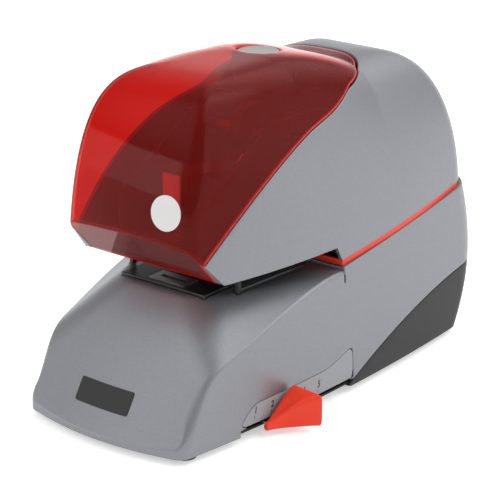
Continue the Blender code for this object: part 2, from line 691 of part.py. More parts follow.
def base_parts():
    """The silver lower housing, the scale plate in its side, the dark tray with the floor, and the feet."""
    shell = "MANIFOLD"  # the exact solver drops these thin-walled solids
    inner = base_solid("base_inner", WALL, CUTTER_FOOT_Z)
    housing = base_solid("lower_housing", 0, BASE_RIM_Z, "silver_paint")
    insert_half = INSERT_HALF + GAP
    over_table = (BAR_Z[1], REACH)
    insert_room = box("insert_room", (-insert_half, insert_half), (TABLE_FRONT_Y, INSERT_REAR_Y), over_table)
    right_wall = (BASE_HALF_WIDTH - 0.02, BASE_HALF_WIDTH + 0.02)
    slot = box("depth_slot", right_wall, (SLOT_FRONT_Y, SLOT_REAR_Y), (-0.01, SLOT_TOP_Z))
    over_seam = side_wedge("over_seam", -SEAM_HEIGHT / 2 - GAP, True)
    cut(housing, inner, over_seam, tray_region("tray_room", GAP), insert_room, slot, solver=shell)
    for side in (-1, 1):
        middle_x = side * STOP_X + SLIDE_TILT * DEPTH_TRAVEL / 2
        half_x = STOP_WIDTH / 2 + SLOT_PLAY
        end = STOP_DEPTH / 2 + 2 * SLOT_PLAY
        run = (STOP_Y - end, STOP_Y + DEPTH_TRAVEL + end)
        stop_slot = box("stop_slot", (middle_x - half_x, middle_x + half_x), run, over_table)
        stop_slot.rotation_euler.z = -SLIDE_TILT
        cut(housing, stop_slot, solver=shell)
    leaf_z = SLOT_TOP_Z + 2 * GAP
    leaf_y = SLOT_REAR_Y - 0.001
    leaf = rounded(
        [(SLOT_FRONT_Y, leaf_z, 0), (leaf_y, leaf_z, 0), (leaf_y, SCALE_TOP_Z + 0.007, 0),
         (leaf_y - 0.025, SCALE_TOP_Z, 0.05), (SLOT_FRONT_Y + 0.012, SCALE_TOP_Z - 0.0013, 0.012),
         (SLOT_FRONT_Y, leaf_z + 0.0023, 0.0008)]
    )
    recess = plate("scale_recess", leaf, *right_wall)
    recess_depth = SCALE_SINK + SCALE_THICK + SCALE_SINK
    cut(recess, base_solid("recess_floor", recess_depth, CUTTER_FOOT_Z), solver=shell)
    cut(housing, recess, solver=shell)

    scale = base_solid("scale_plate", SCALE_SINK, BASE_RIM_Z, "white_label")
    keep(scale, plate("scale_outline", inset(leaf, 2 * GAP), *right_wall), solver=shell)
    cut(scale, base_solid("scale_back", SCALE_SINK + SCALE_THICK, CUTTER_FOOT_Z), solver=shell)

    tray = base_solid("base_tray", 0, BASE_RIM_Z, "dark_plastic")
    cut(tray, inner, solver=shell)
    keep(tray, tray_region("tray_keep", 0), solver=shell)
    squeeze = 1 - (REAR_CURVE_BELOW * (BASE_WIDEST_Z - BASE_RIM_Z) ** 2) / (BASE_REAR_Y - BASE_STRETCH_Y)
    floor_outline = []
    for (x, y), (wide_x, wide_y) in zip(
        inset(shell_outline(BASE_PLAN), WALL + GAP), inset(shell_outline(BASE_PLAN), WALL / 2)
    ):
        if y < BASE_STRETCH_Y:
            floor_outline.append((x, y))
        else:
            floor_outline.append((wide_x, BASE_STRETCH_Y + (wide_y - BASE_STRETCH_Y) * squeeze))
    floor_z = BASE_RIM_Z + FLOOR_RAISE
    join(tray, plate("tray_floor", floor_outline, floor_z, floor_z + FLOOR_THICK, plane="XY"), solver=shell)
    for x, z, half_x, half_z in (INLET, SWITCH):
        wide, tall = half_x + GAP, half_z + GAP
        depth = (REAR_FACE_Y - 0.03, REACH)
        cut(tray, box("rear_opening", (x - wide, x + wide), depth, (z - tall, z + tall)), solver=shell)

    for end, y in (("front", FOOT_FRONT_Y), ("rear", FOOT_REAR_Y)):
        for side, name in ((-1, end + "_left"), (1, end + "_right")):
            height = floor_z - GAP
            rod("foot_" + name, "Z", (side * FOOT_X, y, height / 2), FOOT_RADIUS, height, "rubber", sides=20)
            x = side * SCREW_X
            middle = (x, y, floor_z + SCREW_LENGTH / 2)
            cut(tray, rod("screw_hole", "Z", middle, SCREW_RADIUS + GAP, 0.03), solver=shell)
            screw = rod("base_screw_" + name, "Z", middle, SCREW_RADIUS, SCREW_LENGTH, "steel", 16)
            groove = (x - SCREW_RADIUS * 0.6, x + SCREW_RADIUS * 0.6)
            cut(screw, box("screw_drive", groove, (y - GAP, y + GAP), (0, floor_z + 0.001)))


def throat_parts():
    """The black insert in the table with the anvil, its two clinching wings and the paper sensor."""
    top = TABLE_Z + INSERT_RAISE
    insert = box(
        "table_insert", (-INSERT_HALF, INSERT_HALF), (TABLE_FRONT_Y + GAP, INSERT_REAR_Y - GAP),
        (top - INSERT_THICK, top), "black_plastic", rounding=0.0006,
    )
    half_y = ANVIL_DEPTH / 2
    anvil_y = (STAPLE_Y - half_y, STAPLE_Y + half_y)
    anvil_z = (BAR_Z[1] + ANVIL_LIFT, top + GAP)
    anvil = box("anvil_block", (-ANVIL_HALF, ANVIL_HALF), anvil_y, anvil_z, "steel")
    room_x, room_y = ANVIL_HALF + GAP, half_y + GAP
    cut(insert, box("anvil_room", (-room_x, room_x), (STAPLE_Y - room_y, STAPLE_Y + room_y), (0, REACH)))
    half_slot = SENSOR_THICK / 2 + 0.0006
    slot_y = (SENSOR_Y - 0.014, SENSOR_Y + 0.010)
    cut(insert, box("sensor_slot", (SENSOR_X - half_slot, SENSOR_X + half_slot), slot_y, (0, REACH)))
    wing_x, wing_y = WING_X + 0.0018, WING_WIDTH / 2 + GAP
    wing_floor = WING_Z - WING_LENGTH * math.sin(WING_REST) - WING_THICK / 2 - 0.0015
    slot_y = (STAPLE_Y - wing_y, STAPLE_Y + wing_y)
    cut(anvil, box("wing_slot", (-wing_x, wing_x), slot_y, (wing_floor, REACH)))
    half_width, half_thick = WING_WIDTH / 2, WING_THICK / 2
    for side, name in ((-1, "left"), (1, "right")):
        reach = sorted((side * half_thick, -side * WING_LENGTH))
        wing = box(
            "clinch_wing_" + name, reach, (-half_width, half_width), (-half_thick, half_thick), "steel"
        )
        set_origin(wing, 0, 0, 0)
        wing.location = (side * WING_X, STAPLE_Y, WING_Z)
        wing.rotation_euler.y = -side * WING_REST
    y, z = SENSOR_Y, SENSOR_Z
    half, tip_z = 0.003, z + 0.0125
    lever = plate(
        "sensor_lever",
        [(y - half, z - half), (y + half, z - half), (y + half, z + half), (y - 0.001, tip_z),
         (y - 0.004, tip_z)],
        SENSOR_X - SENSOR_THICK / 2, SENSOR_X + SENSOR_THICK / 2, "nylon",
    )
    set_origin(lever, SENSOR_X, y, z)
    switch_z = (BAR_Z[1] + 0.0015, z - half * math.sqrt(2) - GAP)
    switch_x, switch_y = (SENSOR_X - 0.004, SENSOR_X + 0.004), (y - 0.008, y + 0.008)
    box("sensor_switch", switch_x, switch_y, switch_z, "black_plastic")


def gear(name, teeth, phase, low, high, paint=None):
    """A spur gear about the X axis through the origin, with one tooth centred at the phase angle."""
    pitch = MODULE * teeth / 2
    step = 2 * math.pi / teeth
    profile = ((-0.36, -1.2), (-0.24, 0.0), (-0.11, 0.85), (0.11, 0.85), (0.24, 0.0), (0.36, -1.2))
    outline = []
    for tooth in range(teeth):
        for share, height in profile:
            angle = phase + (tooth + share) * step
            radius = pitch + height * MODULE
            outline.append((radius * math.cos(angle), radius * math.sin(angle)))
    return plate(name, outline, low, high, paint)


def drive_parts():
    """Motor pinion, compound idler, cam gear, shaft and cam: the train that swings the driver arm down."""
    inner_plane = (-PLATE_OUTER - GEAR_PLAY - GEAR_WIDTH, -PLATE_OUTER - GEAR_PLAY)
    outer_plane = (inner_plane[0] - GEAR_PLAY - GEAR_WIDTH, inner_plane[0] - GEAR_PLAY)
    cam_gear = gear("cam_gear", CAM_TEETH, DRIVE_SLOPE, *inner_plane, "nylon")
    cut(cam_gear, rod("cam_gear_bore", "X", (0, CAM_Y, CAM_Z), PIN_RADIUS + GAP, REACH))
    ring = (PIN_RADIUS + MODULE * CAM_TEETH / 2) / 2
    for angle in range(0, 360, 60):
        turn = math.radians(angle)
        spot = (0, CAM_Y + ring * math.cos(turn), CAM_Z + ring * math.sin(turn))
        cut(cam_gear, rod("cam_gear_hole", "X", spot, ring / 3, REACH, sides=16))
    cam_gear.location = (0, CAM_Y, CAM_Z)
    shaft = (inner_plane[0], PLATE_OUTER + PIN_END)
    rod("cam_shaft", "X", (sum(shaft) / 2, CAM_Y, CAM_Z), PIN_RADIUS, shaft[1] - shaft[0], "steel")
    cam = plate("cam", cam_outline(), -CAM_HALF_WIDTH, CAM_HALF_WIDTH, "steel")
    cut(cam, rod("cam_bore", "X", (0, CAM_Y, CAM_Z), PIN_RADIUS + GAP, REACH))
    cam.location = (0, CAM_Y, CAM_Z)

    small_phase = DRIVE_SLOPE + math.pi + math.pi / IDLER_SMALL_TEETH
    idler = gear("idler_gear", IDLER_LARGE_TEETH, DRIVE_SLOPE, *outer_plane, "nylon")
    small = gear("idler_small", IDLER_SMALL_TEETH, small_phase, *inner_plane)
    small.location = (0, IDLER_Y, IDLER_Z)
    hub_middle = (inner_plane[0] + outer_plane[1]) / 2
    join(idler, small, rod("idler_hub", "X", (hub_middle, IDLER_Y, IDLER_Z), PIN_RADIUS, GEAR_WIDTH))
    cut(idler, rod("idler_bore", "X", (0, IDLER_Y, IDLER_Z), AXLE_RADIUS + GAP, REACH))
    idler.location = (0, IDLER_Y, IDLER_Z)
    axle = (outer_plane[0] - PIN_END, -PLATE_X + PLATE_THICK / 2)
    rod("idler_axle", "X", (sum(axle) / 2, IDLER_Y, IDLER_Z), AXLE_RADIUS, axle[1] - axle[0], "steel")

    pinion_phase = DRIVE_SLOPE + math.pi + math.pi / PINION_TEETH
    pinion = gear("motor_pinion", PINION_TEETH, pinion_phase, *outer_plane, "brass")
    stub = (sum(outer_plane) / 2, -PLATE_OUTER - GAP)
    join(pinion, rod("pinion_shaft", "X", (sum(stub) / 2, MOTOR_Y, MOTOR_Z), ROLLER_PIN, stub[1] - stub[0]))
    pinion.location = (0, MOTOR_Y, MOTOR_Z)
    motor = rod("motor", "X", (0, MOTOR_Y, MOTOR_Z), MOTOR_RADIUS, MOTOR_LENGTH, "steel", 32)
    boss = (-PLATE_OUTER, -MOTOR_LENGTH / 2 + MOTOR_BOSS_RADIUS / 2)
    middle = (sum(boss) / 2, MOTOR_Y, MOTOR_Z)
    join(motor, rod("motor_boss", "X", middle, MOTOR_BOSS_RADIUS, boss[1] - boss[0]))


def cam_outline():
    """The cam about its shaft: a rise that turns the arm evenly, two rests and a smooth fall."""
    lever = Vector((ROLLER_Y - ARM_Y, ROLLER_Z - ARM_Z))

    def height(turn):
        swing = min(1.0, max(0.0, turn / CAM_SWING)) * ARM_SWING
        swung = lever.copy()
        swung.rotate(Matrix.Rotation(swing, 2))
        offset = Vector((ARM_Y, ARM_Z)) + swung - Vector((CAM_Y, CAM_Z))
        return offset.length - ROLLER_RADIUS - GAP, math.atan2(offset.y, offset.x)

    low, high = height(0)[0], height(CAM_SWING)[0]
    outline = []
    for degrees in range(0, 360, 6):
        turn = math.radians(degrees)
        radius, bearing = height(turn)
        fall = lean(degrees, CAM_FALL[0], CAM_FALL[1])
        if turn > CAM_SWING:
            radius = low + (high - low) * (1 + math.cos(math.pi * fall)) / 2
        outline.append((radius * math.cos(bearing + turn), radius * math.sin(bearing + turn)))
    return outline


def arm_parts():
    """The driver arm on its pivot, with the roller that the cam pushes and the blade that drives staples."""
    eye = PIN_RADIUS + EYE_WALL
    low, high = ARM_Z - eye, ARM_Z + eye
    over_roller, under_roller = ROLLER_Z + 0.005, ROLLER_Z - 0.0115
    front_y = STAPLE_Y + BLADE_THICK / 2 + GAP
    outline = rounded(
        [(ARM_Y - 0.006, low, 0.004), (ARM_Y + eye, low, 0.005), (ARM_Y + eye, high, 0.005),
         (ROLLER_Y + 0.014, over_roller, 0.006), (ROLLER_Y - 0.030, over_roller + 0.002, 0),
         (front_y, ROLLER_Z + 0.0135, 0.003), (front_y, ROLLER_Z + 0.0035, 0.002),
         (ROLLER_Y - 0.040, ROLLER_Z - 0.004, 0), (ROLLER_Y, under_roller, 0)]
    )
    arm = plate("driver_arm", outline, -ARM_HALF, ARM_HALF, "steel")
    cheek = ROLLER_HALF + 2 * GAP
    cut(arm, box("roller_room", (-cheek, cheek), (ROLLER_Y - 0.016, ROLLER_Y + 0.016), (0, REACH)))
    cut(arm, rod("arm_bore", "X", (0, ARM_Y, ARM_Z), PIN_RADIUS + GAP, REACH))
    cut(arm, rod("roller_pin_bore", "X", (0, ROLLER_Y, ROLLER_Z), ROLLER_PIN + GAP, REACH))
    roller = rod("cam_roller", "X", (0, ROLLER_Y, ROLLER_Z), ROLLER_RADIUS, 2 * ROLLER_HALF, "steel", 28)
    cut(roller, rod("roller_bore", "X", (0, ROLLER_Y, ROLLER_Z), ROLLER_PIN + GAP, REACH))
    pin = rod("roller_pin", "X", (0, ROLLER_Y, ROLLER_Z), ROLLER_PIN, 2 * ARM_HALF, "steel", 16)
    blade_y = (STAPLE_Y - BLADE_THICK / 2, STAPLE_Y + BLADE_THICK / 2)
    blade_z = (CEILING_Z + 0.0047, ROLLER_Z + 0.012)
    blade = box("driver_blade", (-STAPLE_HALF, STAPLE_HALF), blade_y, blade_z, "steel")
    for part in (arm, roller, pin, blade):
        set_origin(part, 0, ARM_Y, ARM_Z)
    rod("arm_pivot_pin", "X", (0, ARM_Y, ARM_Z), PIN_RADIUS, 2 * (PLATE_OUTER + PIN_END), "steel")


def frame_parts():
    """The two C-shaped steel plates that carry the drive over the throat, and the rods between them."""
    eye = AXLE_RADIUS + EYE_WALL
    jaw_y, nose_y = STAPLE_Y - 0.006, STAPLE_Y - 0.012
    upright_y = TRIM_REAR_Y + 0.004
    jaw_z = TABLE_Z - 0.028
    beam_z = CEILING_Z + GAP + UNDERPLATE_THICK + 0.0025
    outline = rounded(
        [(jaw_y, PLATE_BOTTOM_Z, 0.005), (PLATE_REAR_Y, PLATE_BOTTOM_Z, 0.005), (PLATE_REAR_Y, beam_z, 0.02),
         (HINGE_Y + eye, HINGE_Z - 0.026, 0.012), (HINGE_Y + eye, HINGE_Z + eye, 0.0055),
         (HINGE_Y - eye, HINGE_Z + eye, 0.005), (HINGE_Y - 0.024, PLATE_TOP_Z - 0.010, 0.01),
         (CAM_Y + 0.018, PLATE_TOP_Z, 0.008), (CAM_Y - 0.018, PLATE_TOP_Z, 0.008),
         (nose_y, PLATE_TOP_Z - 0.038, 0.008), (nose_y, beam_z, 0.004), (upright_y, beam_z, 0.004),
         (upright_y, jaw_z, 0.006), (jaw_y, jaw_z, 0.005)],
        steps=3,
    )
    shared = (
        ("cam_bearing", CAM_Y, CAM_Z, PIN_RADIUS), ("arm_bearing", ARM_Y, ARM_Z, PIN_RADIUS),
        ("hinge_bearing", HINGE_Y, HINGE_Z, AXLE_RADIUS),
    )
    left_only = (
        ("idler_bearing", IDLER_Y, IDLER_Z, AXLE_RADIUS),
        ("motor_bearing", MOTOR_Y, MOTOR_Z, MOTOR_BOSS_RADIUS),
    )
    for side, name, holes in ((-1, "left", shared + left_only), (1, "right", shared)):
        middle = side * PLATE_X
        made = plate(
            "frame_plate_" + name, outline, middle - PLATE_THICK / 2, middle + PLATE_THICK / 2, "steel"
        )
        for hole, y, z, radius in holes:
            cut(made, rod(hole, "X", (middle, y, z), radius + GAP, 0.02))
    length = 2 * PLATE_X - PLATE_THICK - 2 * GAP
    low_z = (PLATE_BOTTOM_Z + jaw_z) / 2
    rear_y = PLATE_REAR_Y - 0.012
    places = (("front", jaw_y + 0.018, low_z), ("middle", rear_y, low_z), ("rear", rear_y, beam_z - 0.003))
    for name, y, z in places:
        rod("tie_rod_" + name, "X", (0, y, z), TIE_ROD_RADIUS, length, "steel", 20)


def head_parts():
    """The black plate over the throat, and the staple cassette with its strip and pusher."""
    ceiling = CEILING_Z + GAP
    outline = inset(shell_outline(HOOD_PLAN), WALL + GAP)
    upper = ceiling + UNDERPLATE_THICK
    under = plate("head_underplate", outline, ceiling, upper, "black_plastic", plane="XY")
    wall_y = (TRIM_REAR_Y + GAP, TRIM_REAR_Y + GAP + 0.002)
    wall_z = (seam_height(wall_y[1]) + SEAM_HEIGHT / 2 + 2 * GAP, ceiling + UNDERPLATE_THICK / 2)
    wall_half = HOOD_HALF_WIDTH - 0.0065
    keep(under, box("underplate_room", (-REACH, REACH), (LIP_FOOT[0] + 0.0045, wall_y[1]), (0, REACH)))
    join(under, box("throat_wall", (-wall_half, wall_half), wall_y, wall_z))
    slot_y = (STAPLE_Y - 0.0030, STAPLE_Y + 0.0065)  # the blade swings back as it comes down
    slot_half = STAPLE_HALF + 2 * GAP
    cut(under, box("nose_opening", (-slot_half, slot_half), slot_y, (0, REACH)))

    bottom = ceiling + UNDERPLATE_THICK + GAP
    top = bottom + CASSETTE_HEIGHT
    rear = CASSETTE_REAR_Y
    body = plate(
        "cassette_body",
        [(STAPLE_Y - 0.0075, bottom), (rear, bottom), (rear, top), (STAPLE_Y - 0.021, top)],
        -CASSETTE_HALF, CASSETTE_HALF, "black_plastic",
    )
    cut(body, box("blade_slot", (-slot_half, slot_half), slot_y, (0, REACH)))
    wall = 0.0014
    strip_z = (bottom + wall + GAP, bottom + wall + GAP + STRIP_HEIGHT)
    channel = ((STAPLE_Y + 0.006, rear - 2 * wall), (bottom + wall, strip_z[1] + 2 * GAP))
    cut(body, box("strip_channel", (-slot_half, slot_half), *channel))
    pusher_y = (rear - 2 * wall - GAP - 0.003, rear - 2 * wall - GAP)
    box("strip_pusher", (-STAPLE_HALF, STAPLE_HALF), pusher_y, strip_z, "orange_plastic")
    strip_y = (slot_y[1] + 2 * GAP, pusher_y[0] - GAP)
    strip = box("staple_strip", (-STAPLE_HALF, STAPLE_HALF), strip_y, strip_z, "steel")
    leg = STAPLE_HALF - 0.001
    cut(strip, box("staple_legs", (-leg, leg), (-REACH, REACH), (0, strip_z[1] - 0.001)))


def cover_hardware():
    """The gooseneck arms that carry the cover on its hinge pin, and the button in the cup it slides in."""
    limit = hood_solid("cover_underside", WALL + GAP)
    y, z = HINGE_Y, HINGE_Z
    eye = AXLE_RADIUS + EYE_WALL
    low, high = z - NECK_DIP, z - NECK_DIP + NECK_THICK
    front, rear = y - NECK_REACH, y - NECK_REACH + NECK_WIDTH
    above = HOOD_TOP_Z + 0.01
    outline = rounded(
        [(y + eye, low, 0.008), (y + eye, z + eye, 0.0055), (y - eye, z + eye, 0.0055),
         (y - eye, high, 0.003), (rear, high, 0.003), (rear, above, 0), (front, above, 0),
         (front, low, 0.005)],
        steps=4,
    )
    half = HINGE_ARM_THICK / 2
    for side, name in ((-1, "left"), (1, "right")):
        middle = side * HINGE_ARM_X
        arm = plate("hinge_arm_" + name, outline, middle - half, middle + half, "black_plastic")
        keep(arm, limit)
        cut(arm, rod("hinge_arm_bore", "X", (middle, y, z), AXLE_RADIUS + GAP, 0.02))
        set_origin(arm, 0, y, z)
    rod("cover_hinge_pin", "X", (0, y, z), AXLE_RADIUS, 2 * (PLATE_OUTER + PIN_END), "steel")

    top = hood_point(0, BUTTON_Y, math.pi / 2, 0)[2] - BUTTON_SINK
    disc = (0, BUTTON_Y, top - BUTTON_THICK / 2)
    button = rod("cover_button", "Z", disc, BUTTON_RADIUS, BUTTON_THICK, "button_grey", 40)
    stem = STEM_LENGTH + BUTTON_THICK / 2
    join(button, rod("button_stem", "Z", (0, BUTTON_Y, disc[2] - stem / 2), STEM_RADIUS, stem))
    set_origin(button, 0, BUTTON_Y, top)
    cup_z = top - BUTTON_THICK - STEM_LENGTH + 0.0025
    cup_top = HOOD_TOP_Z + 0.01
    middle = (0, BUTTON_Y, (cup_z + cup_top) / 2)
    bore = BUTTON_RADIUS + GAP
    cup = rod("button_cup", "Z", middle, bore + CUP_WALL, cup_top - cup_z, "black_plastic", 32)
    keep(cup, limit)
    middle = (0, BUTTON_Y, cup_z + CUP_FLOOR + REACH / 2)
    cut(cup, rod("cup_bore", "Z", middle, bore, REACH, sides=32))
    cut(cup, rod("cup_stem_bore", "Z", (0, BUTTON_Y, cup_z), STEM_RADIUS + GAP, 0.04))
    set_origin(cup, 0, HINGE_Y, HINGE_Z)


def depth_parts():
    """The orange knob, the carriage behind the wall and the two paper stops: one piece that slides."""
    sections = []
    for step in range(9):
        share = step / 8
        y = KNOB_FRONT_Y + (KNOB_REAR_Y - KNOB_FRONT_Y) * share
        inside = KNOB_INNER_X + SLIDE_TILT * (y - KNOB_REAR_Y)
        outside = inside + KNOB_TIP + (KNOB_OUTER_X - KNOB_INNER_X - KNOB_TIP) * share**2.2
        low = KNOB_BOTTOM_Z
        high = low + KNOB_HEIGHT * (0.285 + 0.715 * share**1.2)
        edge = min(0.0015, (high - low) / 4)
        profile = rounded(
            [(inside, low, 0), (outside, low, edge), (outside, high - KNOB_TIP * share, 2 * edge),
             (inside, high, 0)],
            steps=3,
        )
        sections.append([(point.x, y, point.y) for point in profile])
    knob = loft("depth_knob", sections, "orange_plastic")
    set_origin(knob, KNOB_INNER_X, KNOB_REAR_Y, SLOT_TOP_Z)

    tab_z = BASE_RIM_Z + FLOOR_RAISE + FLOOR_THICK + GAP
    side = (CARRIAGE_X, CARRIAGE_X + CARRIAGE_THICK)
    run = (STOP_Y - CARRIAGE_DEPTH / 2, STOP_Y + CARRIAGE_DEPTH / 2)
    carriage = box("depth_carriage", side, run, (tab_z, BAR_Z[1]), "steel")
    knob_face = KNOB_INNER_X + SLIDE_TILT * (run[0] - KNOB_REAR_Y) - GAP
    join(carriage, box("carriage_tab", (CARRIAGE_X, knob_face), run, (tab_z, SLOT_TOP_Z - GAP)))
    join(carriage, box("carriage_bar", (-STOP_X - STOP_WIDTH, side[1]), run, BAR_Z))
    set_origin(carriage, CARRIAGE_X, STOP_Y, tab_z)
    for side, name in ((-1, "left"), (1, "right")):
        x = side * STOP_X
        stop = box(
            "paper_stop_" + name, (x - STOP_WIDTH / 2, x + STOP_WIDTH / 2),
            (STOP_Y - STOP_DEPTH / 2, STOP_Y + STOP_DEPTH / 2), (BAR_Z[1] + GAP, CEILING_Z - 0.0015), "nylon",
        )
        set_origin(stop, x, STOP_Y, BAR_Z[1])


def power_parts():
    """Transformer and control board in the rear of the base, inlet and rocker switch in its rear wall."""
    floor = BASE_RIM_Z + FLOOR_RAISE + FLOOR_THICK + GAP
    core_x, core_y = CORE_WIDTH / 2, (CORE_Y - CORE_DEPTH / 2, CORE_Y + CORE_DEPTH / 2)
    core = box("transformer_core", (-core_x, core_x), core_y, (floor, floor + CORE_HEIGHT), "steel", 0.001)
    window_x = (CORE_LIMB / 2, core_x - CORE_YOKE)
    window_z = (floor + CORE_YOKE, floor + CORE_HEIGHT - CORE_YOKE)
    for low, high in (window_x, (-window_x[1], -window_x[0])):
        cut(core, box("core_window", (low, high), (0, REACH), window_z))
    coil_x, coil_y = window_x[1] - GAP, (core_y[0] - COIL_BULGE, core_y[1] + COIL_BULGE)
    coil_z = (window_z[0] + GAP, window_z[1] - GAP)
    coil = box("transformer_coil", (-coil_x, coil_x), coil_y, coil_z, "brass", 0.002)
    limb_x, limb_y = window_x[0] + GAP, (core_y[0] - GAP, core_y[1] + GAP)
    cut(coil, box("coil_core", (-limb_x, limb_x), limb_y, (0, REACH)))
    board_z = (BOARD_Z, BOARD_Z + BOARD_THICK)
    board = box("control_board", (-BOARD_HALF, BOARD_HALF), BOARD_Y, board_z, "board_green")
    for x, y, width, depth, height in BOARD_BLOCKS:
        span_x, span_y = (x - width / 2, x + width / 2), (y - depth / 2, y + depth / 2)
        join(board, box("board_block", span_x, span_y, (BOARD_Z + BOARD_THICK / 2, BOARD_Z + height)))
    x, z, half_x, half_z = INLET
    across, up = (x - half_x, x + half_x), (z - half_z, z + half_z)
    depth = (REAR_FACE_Y - INLET_DEPTH, REAR_FACE_Y)
    inlet = box("power_inlet", across, depth, up, "black_plastic", INLET_EDGE)
    half_x, half_z = half_x - INLET_WALL, half_z - INLET_WALL
    recess_y = REAR_FACE_Y - INLET_RECESS
    cut(inlet, box("inlet_recess", (x - half_x, x + half_x), (recess_y, REACH), (z - half_z, z + half_z)))
    half_pin = INLET_PIN / 2
    for side, rise in ((-1, -half_pin), (0, INLET_PIN), (1, -half_pin)):
        pin_x, pin_z = x + side * INLET_PITCH, z + rise
        across, up = (pin_x - half_pin / 2, pin_x + half_pin / 2), (pin_z - half_pin, pin_z + half_pin)
        join(inlet, box("inlet_pin", across, (recess_y - half_pin, recess_y + PIN_LENGTH), up))

    x, z, half_x, half_z = SWITCH
    across, up = (x - half_x, x + half_x), (z - half_z, z + half_z)
    depth = (REAR_FACE_Y - SWITCH_DEPTH, REAR_FACE_Y)
    body = box("switch_housing", across, depth, up, "black_plastic", INLET_EDGE)
    half_x, half_z = half_x - SWITCH_WALL, half_z - SWITCH_WALL
    room_y = (REAR_FACE_Y - ROCKER_DEPTH, REACH)
    cut(body, box("rocker_room", (x - half_x, x + half_x), room_y, (z - half_z, z + half_z)))
    pivot = (REAR_FACE_Y - ROCKER_SINK, z)
    reach = half_z - 2 * GAP
    rest = pivot[0] + ROCKER_RISE
    outline = [(rest, z + reach), (pivot[0] + ROCKER_RISE / 2, z), (rest + ROCKER_RISE, z - reach)]
    outline += corner_arc(pivot, reach, 250, 110, 8)
    half_x -= 2 * GAP
    rocker = plate("power_rocker", list(reversed(outline)), x - half_x, x + half_x, "black_plastic")
    set_origin(rocker, x, *pivot)


hood_parts()
base_parts()
throat_parts()
frame_parts()
drive_parts()
arm_parts()
head_parts()
cover_hardware()
depth_parts()
power_parts()
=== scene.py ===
import json
import math

import bmesh
import bpy
import numpy as np
from mathutils import Matrix, Vector
from mathutils.bvhtree import BVHTree

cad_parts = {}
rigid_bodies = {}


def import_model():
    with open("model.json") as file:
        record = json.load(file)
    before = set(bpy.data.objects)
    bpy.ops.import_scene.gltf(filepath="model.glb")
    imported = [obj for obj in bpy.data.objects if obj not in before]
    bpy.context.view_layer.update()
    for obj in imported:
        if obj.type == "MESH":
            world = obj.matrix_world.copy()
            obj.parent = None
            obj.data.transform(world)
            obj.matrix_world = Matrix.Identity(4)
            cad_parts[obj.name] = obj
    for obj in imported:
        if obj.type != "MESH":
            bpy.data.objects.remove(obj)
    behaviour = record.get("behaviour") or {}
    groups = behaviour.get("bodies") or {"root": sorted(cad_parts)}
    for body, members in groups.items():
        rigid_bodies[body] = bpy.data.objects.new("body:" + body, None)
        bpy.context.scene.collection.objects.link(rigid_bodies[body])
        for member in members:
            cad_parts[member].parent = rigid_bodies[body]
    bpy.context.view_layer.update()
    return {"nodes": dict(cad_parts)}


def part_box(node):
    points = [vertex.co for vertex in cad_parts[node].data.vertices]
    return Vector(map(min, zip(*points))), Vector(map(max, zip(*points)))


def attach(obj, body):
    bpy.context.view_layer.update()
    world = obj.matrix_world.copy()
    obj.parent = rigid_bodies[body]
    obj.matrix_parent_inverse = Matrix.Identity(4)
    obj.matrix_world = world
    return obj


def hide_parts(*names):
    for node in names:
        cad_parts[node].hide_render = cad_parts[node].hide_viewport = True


for leftover in list(bpy.data.objects):
    bpy.data.objects.remove(leftover)
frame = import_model()
camLow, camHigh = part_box("cam")
shaftLow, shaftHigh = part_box("cam_shaft")
# the stapler is drawn about its cam shaft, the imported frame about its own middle
frameShift = Vector(((camLow.x + camHigh.x) / 2, (shaftLow.y + shaftHigh.y) / 2, 0))
print("frame loaded, shift", frameShift)

view = {"azimuth": 38.8, "elevation": 19.7, "distance": 1.2318, "lens": 144, "sensor": 36,
        "height": 0.07946}


def setCamera():
    azimuth, elevation = math.radians(view["azimuth"]), math.radians(view["elevation"])
    away = Vector((math.sin(azimuth) * math.cos(elevation), -math.cos(azimuth) * math.cos(elevation),
                   math.sin(elevation)))
    camera = bpy.data.objects.new("camera", bpy.data.cameras.new("camera"))
    camera.data.lens = view["lens"]
    camera.data.sensor_width = view["sensor"]
    camera.data.clip_start = 0.01
    camera.location = frameShift + Vector((0, 0, view["height"])) + away * view["distance"]
    camera.rotation_euler = (-away).to_track_quat("-Z", "Y").to_euler()
    bpy.context.scene.collection.objects.link(camera)
    bpy.context.scene.camera = camera


setCamera()
print("camera set")


def lean(value, low, high):
    return np.clip((value - low) / (high - low), 0.0, 1.0)


def arcLength(points):
    return np.concatenate([[0.0], np.cumsum(np.linalg.norm(np.diff(points, axis=0), axis=1))])


def pointsAlong(points, where):
    length = arcLength(points)
    return np.stack([np.interp(where, length, axis) for axis in points.T], 1)


def softened(points, spacing, reach):
    # evenly spaced points with the corners rounded off, the two ends kept
    length = arcLength(points)[-1]
    count = max(12, int(length / spacing))
    fine = pointsAlong(points, np.linspace(0, length, count + 1))
    size = min(int(3 * reach / spacing), count // 2 - 1)
    kernel = np.exp(-0.5 * (np.arange(-size, size + 1) * spacing / reach) ** 2)
    kernel /= kernel.sum()
    before, after = 2 * fine[0] - fine[size:0:-1], 2 * fine[-1] - fine[-2:-size - 2:-1]
    padded = np.vstack([before, fine, after])
    return np.stack([np.convolve(axis, kernel, mode="valid") for axis in padded.T], 1)


def arcPoints(middle, radius, start, end, steps=24):
    angle = np.radians(np.linspace(start, end, steps))
    return np.stack([middle[0] + radius * np.cos(angle), middle[1] + radius * np.sin(angle)], 1)


def softLower(first, second, blend):
    # the lower of two values, rounded off where they are nearly equal
    share = np.maximum(0, blend - np.abs(first - second)) / blend
    return np.minimum(first, second) - share * share * blend / 4


def sideWidth(plan, y):
    front = plan["frontDrop"] * np.maximum(0, (plan["widestY"] - y) / plan["frontRun"]) ** plan["frontPower"]
    rear = plan["rearDrop"] * np.maximum(0, (y - plan["widestY"]) / plan["rearRun"]) ** 2
    return plan["halfWidth"] - front - rear


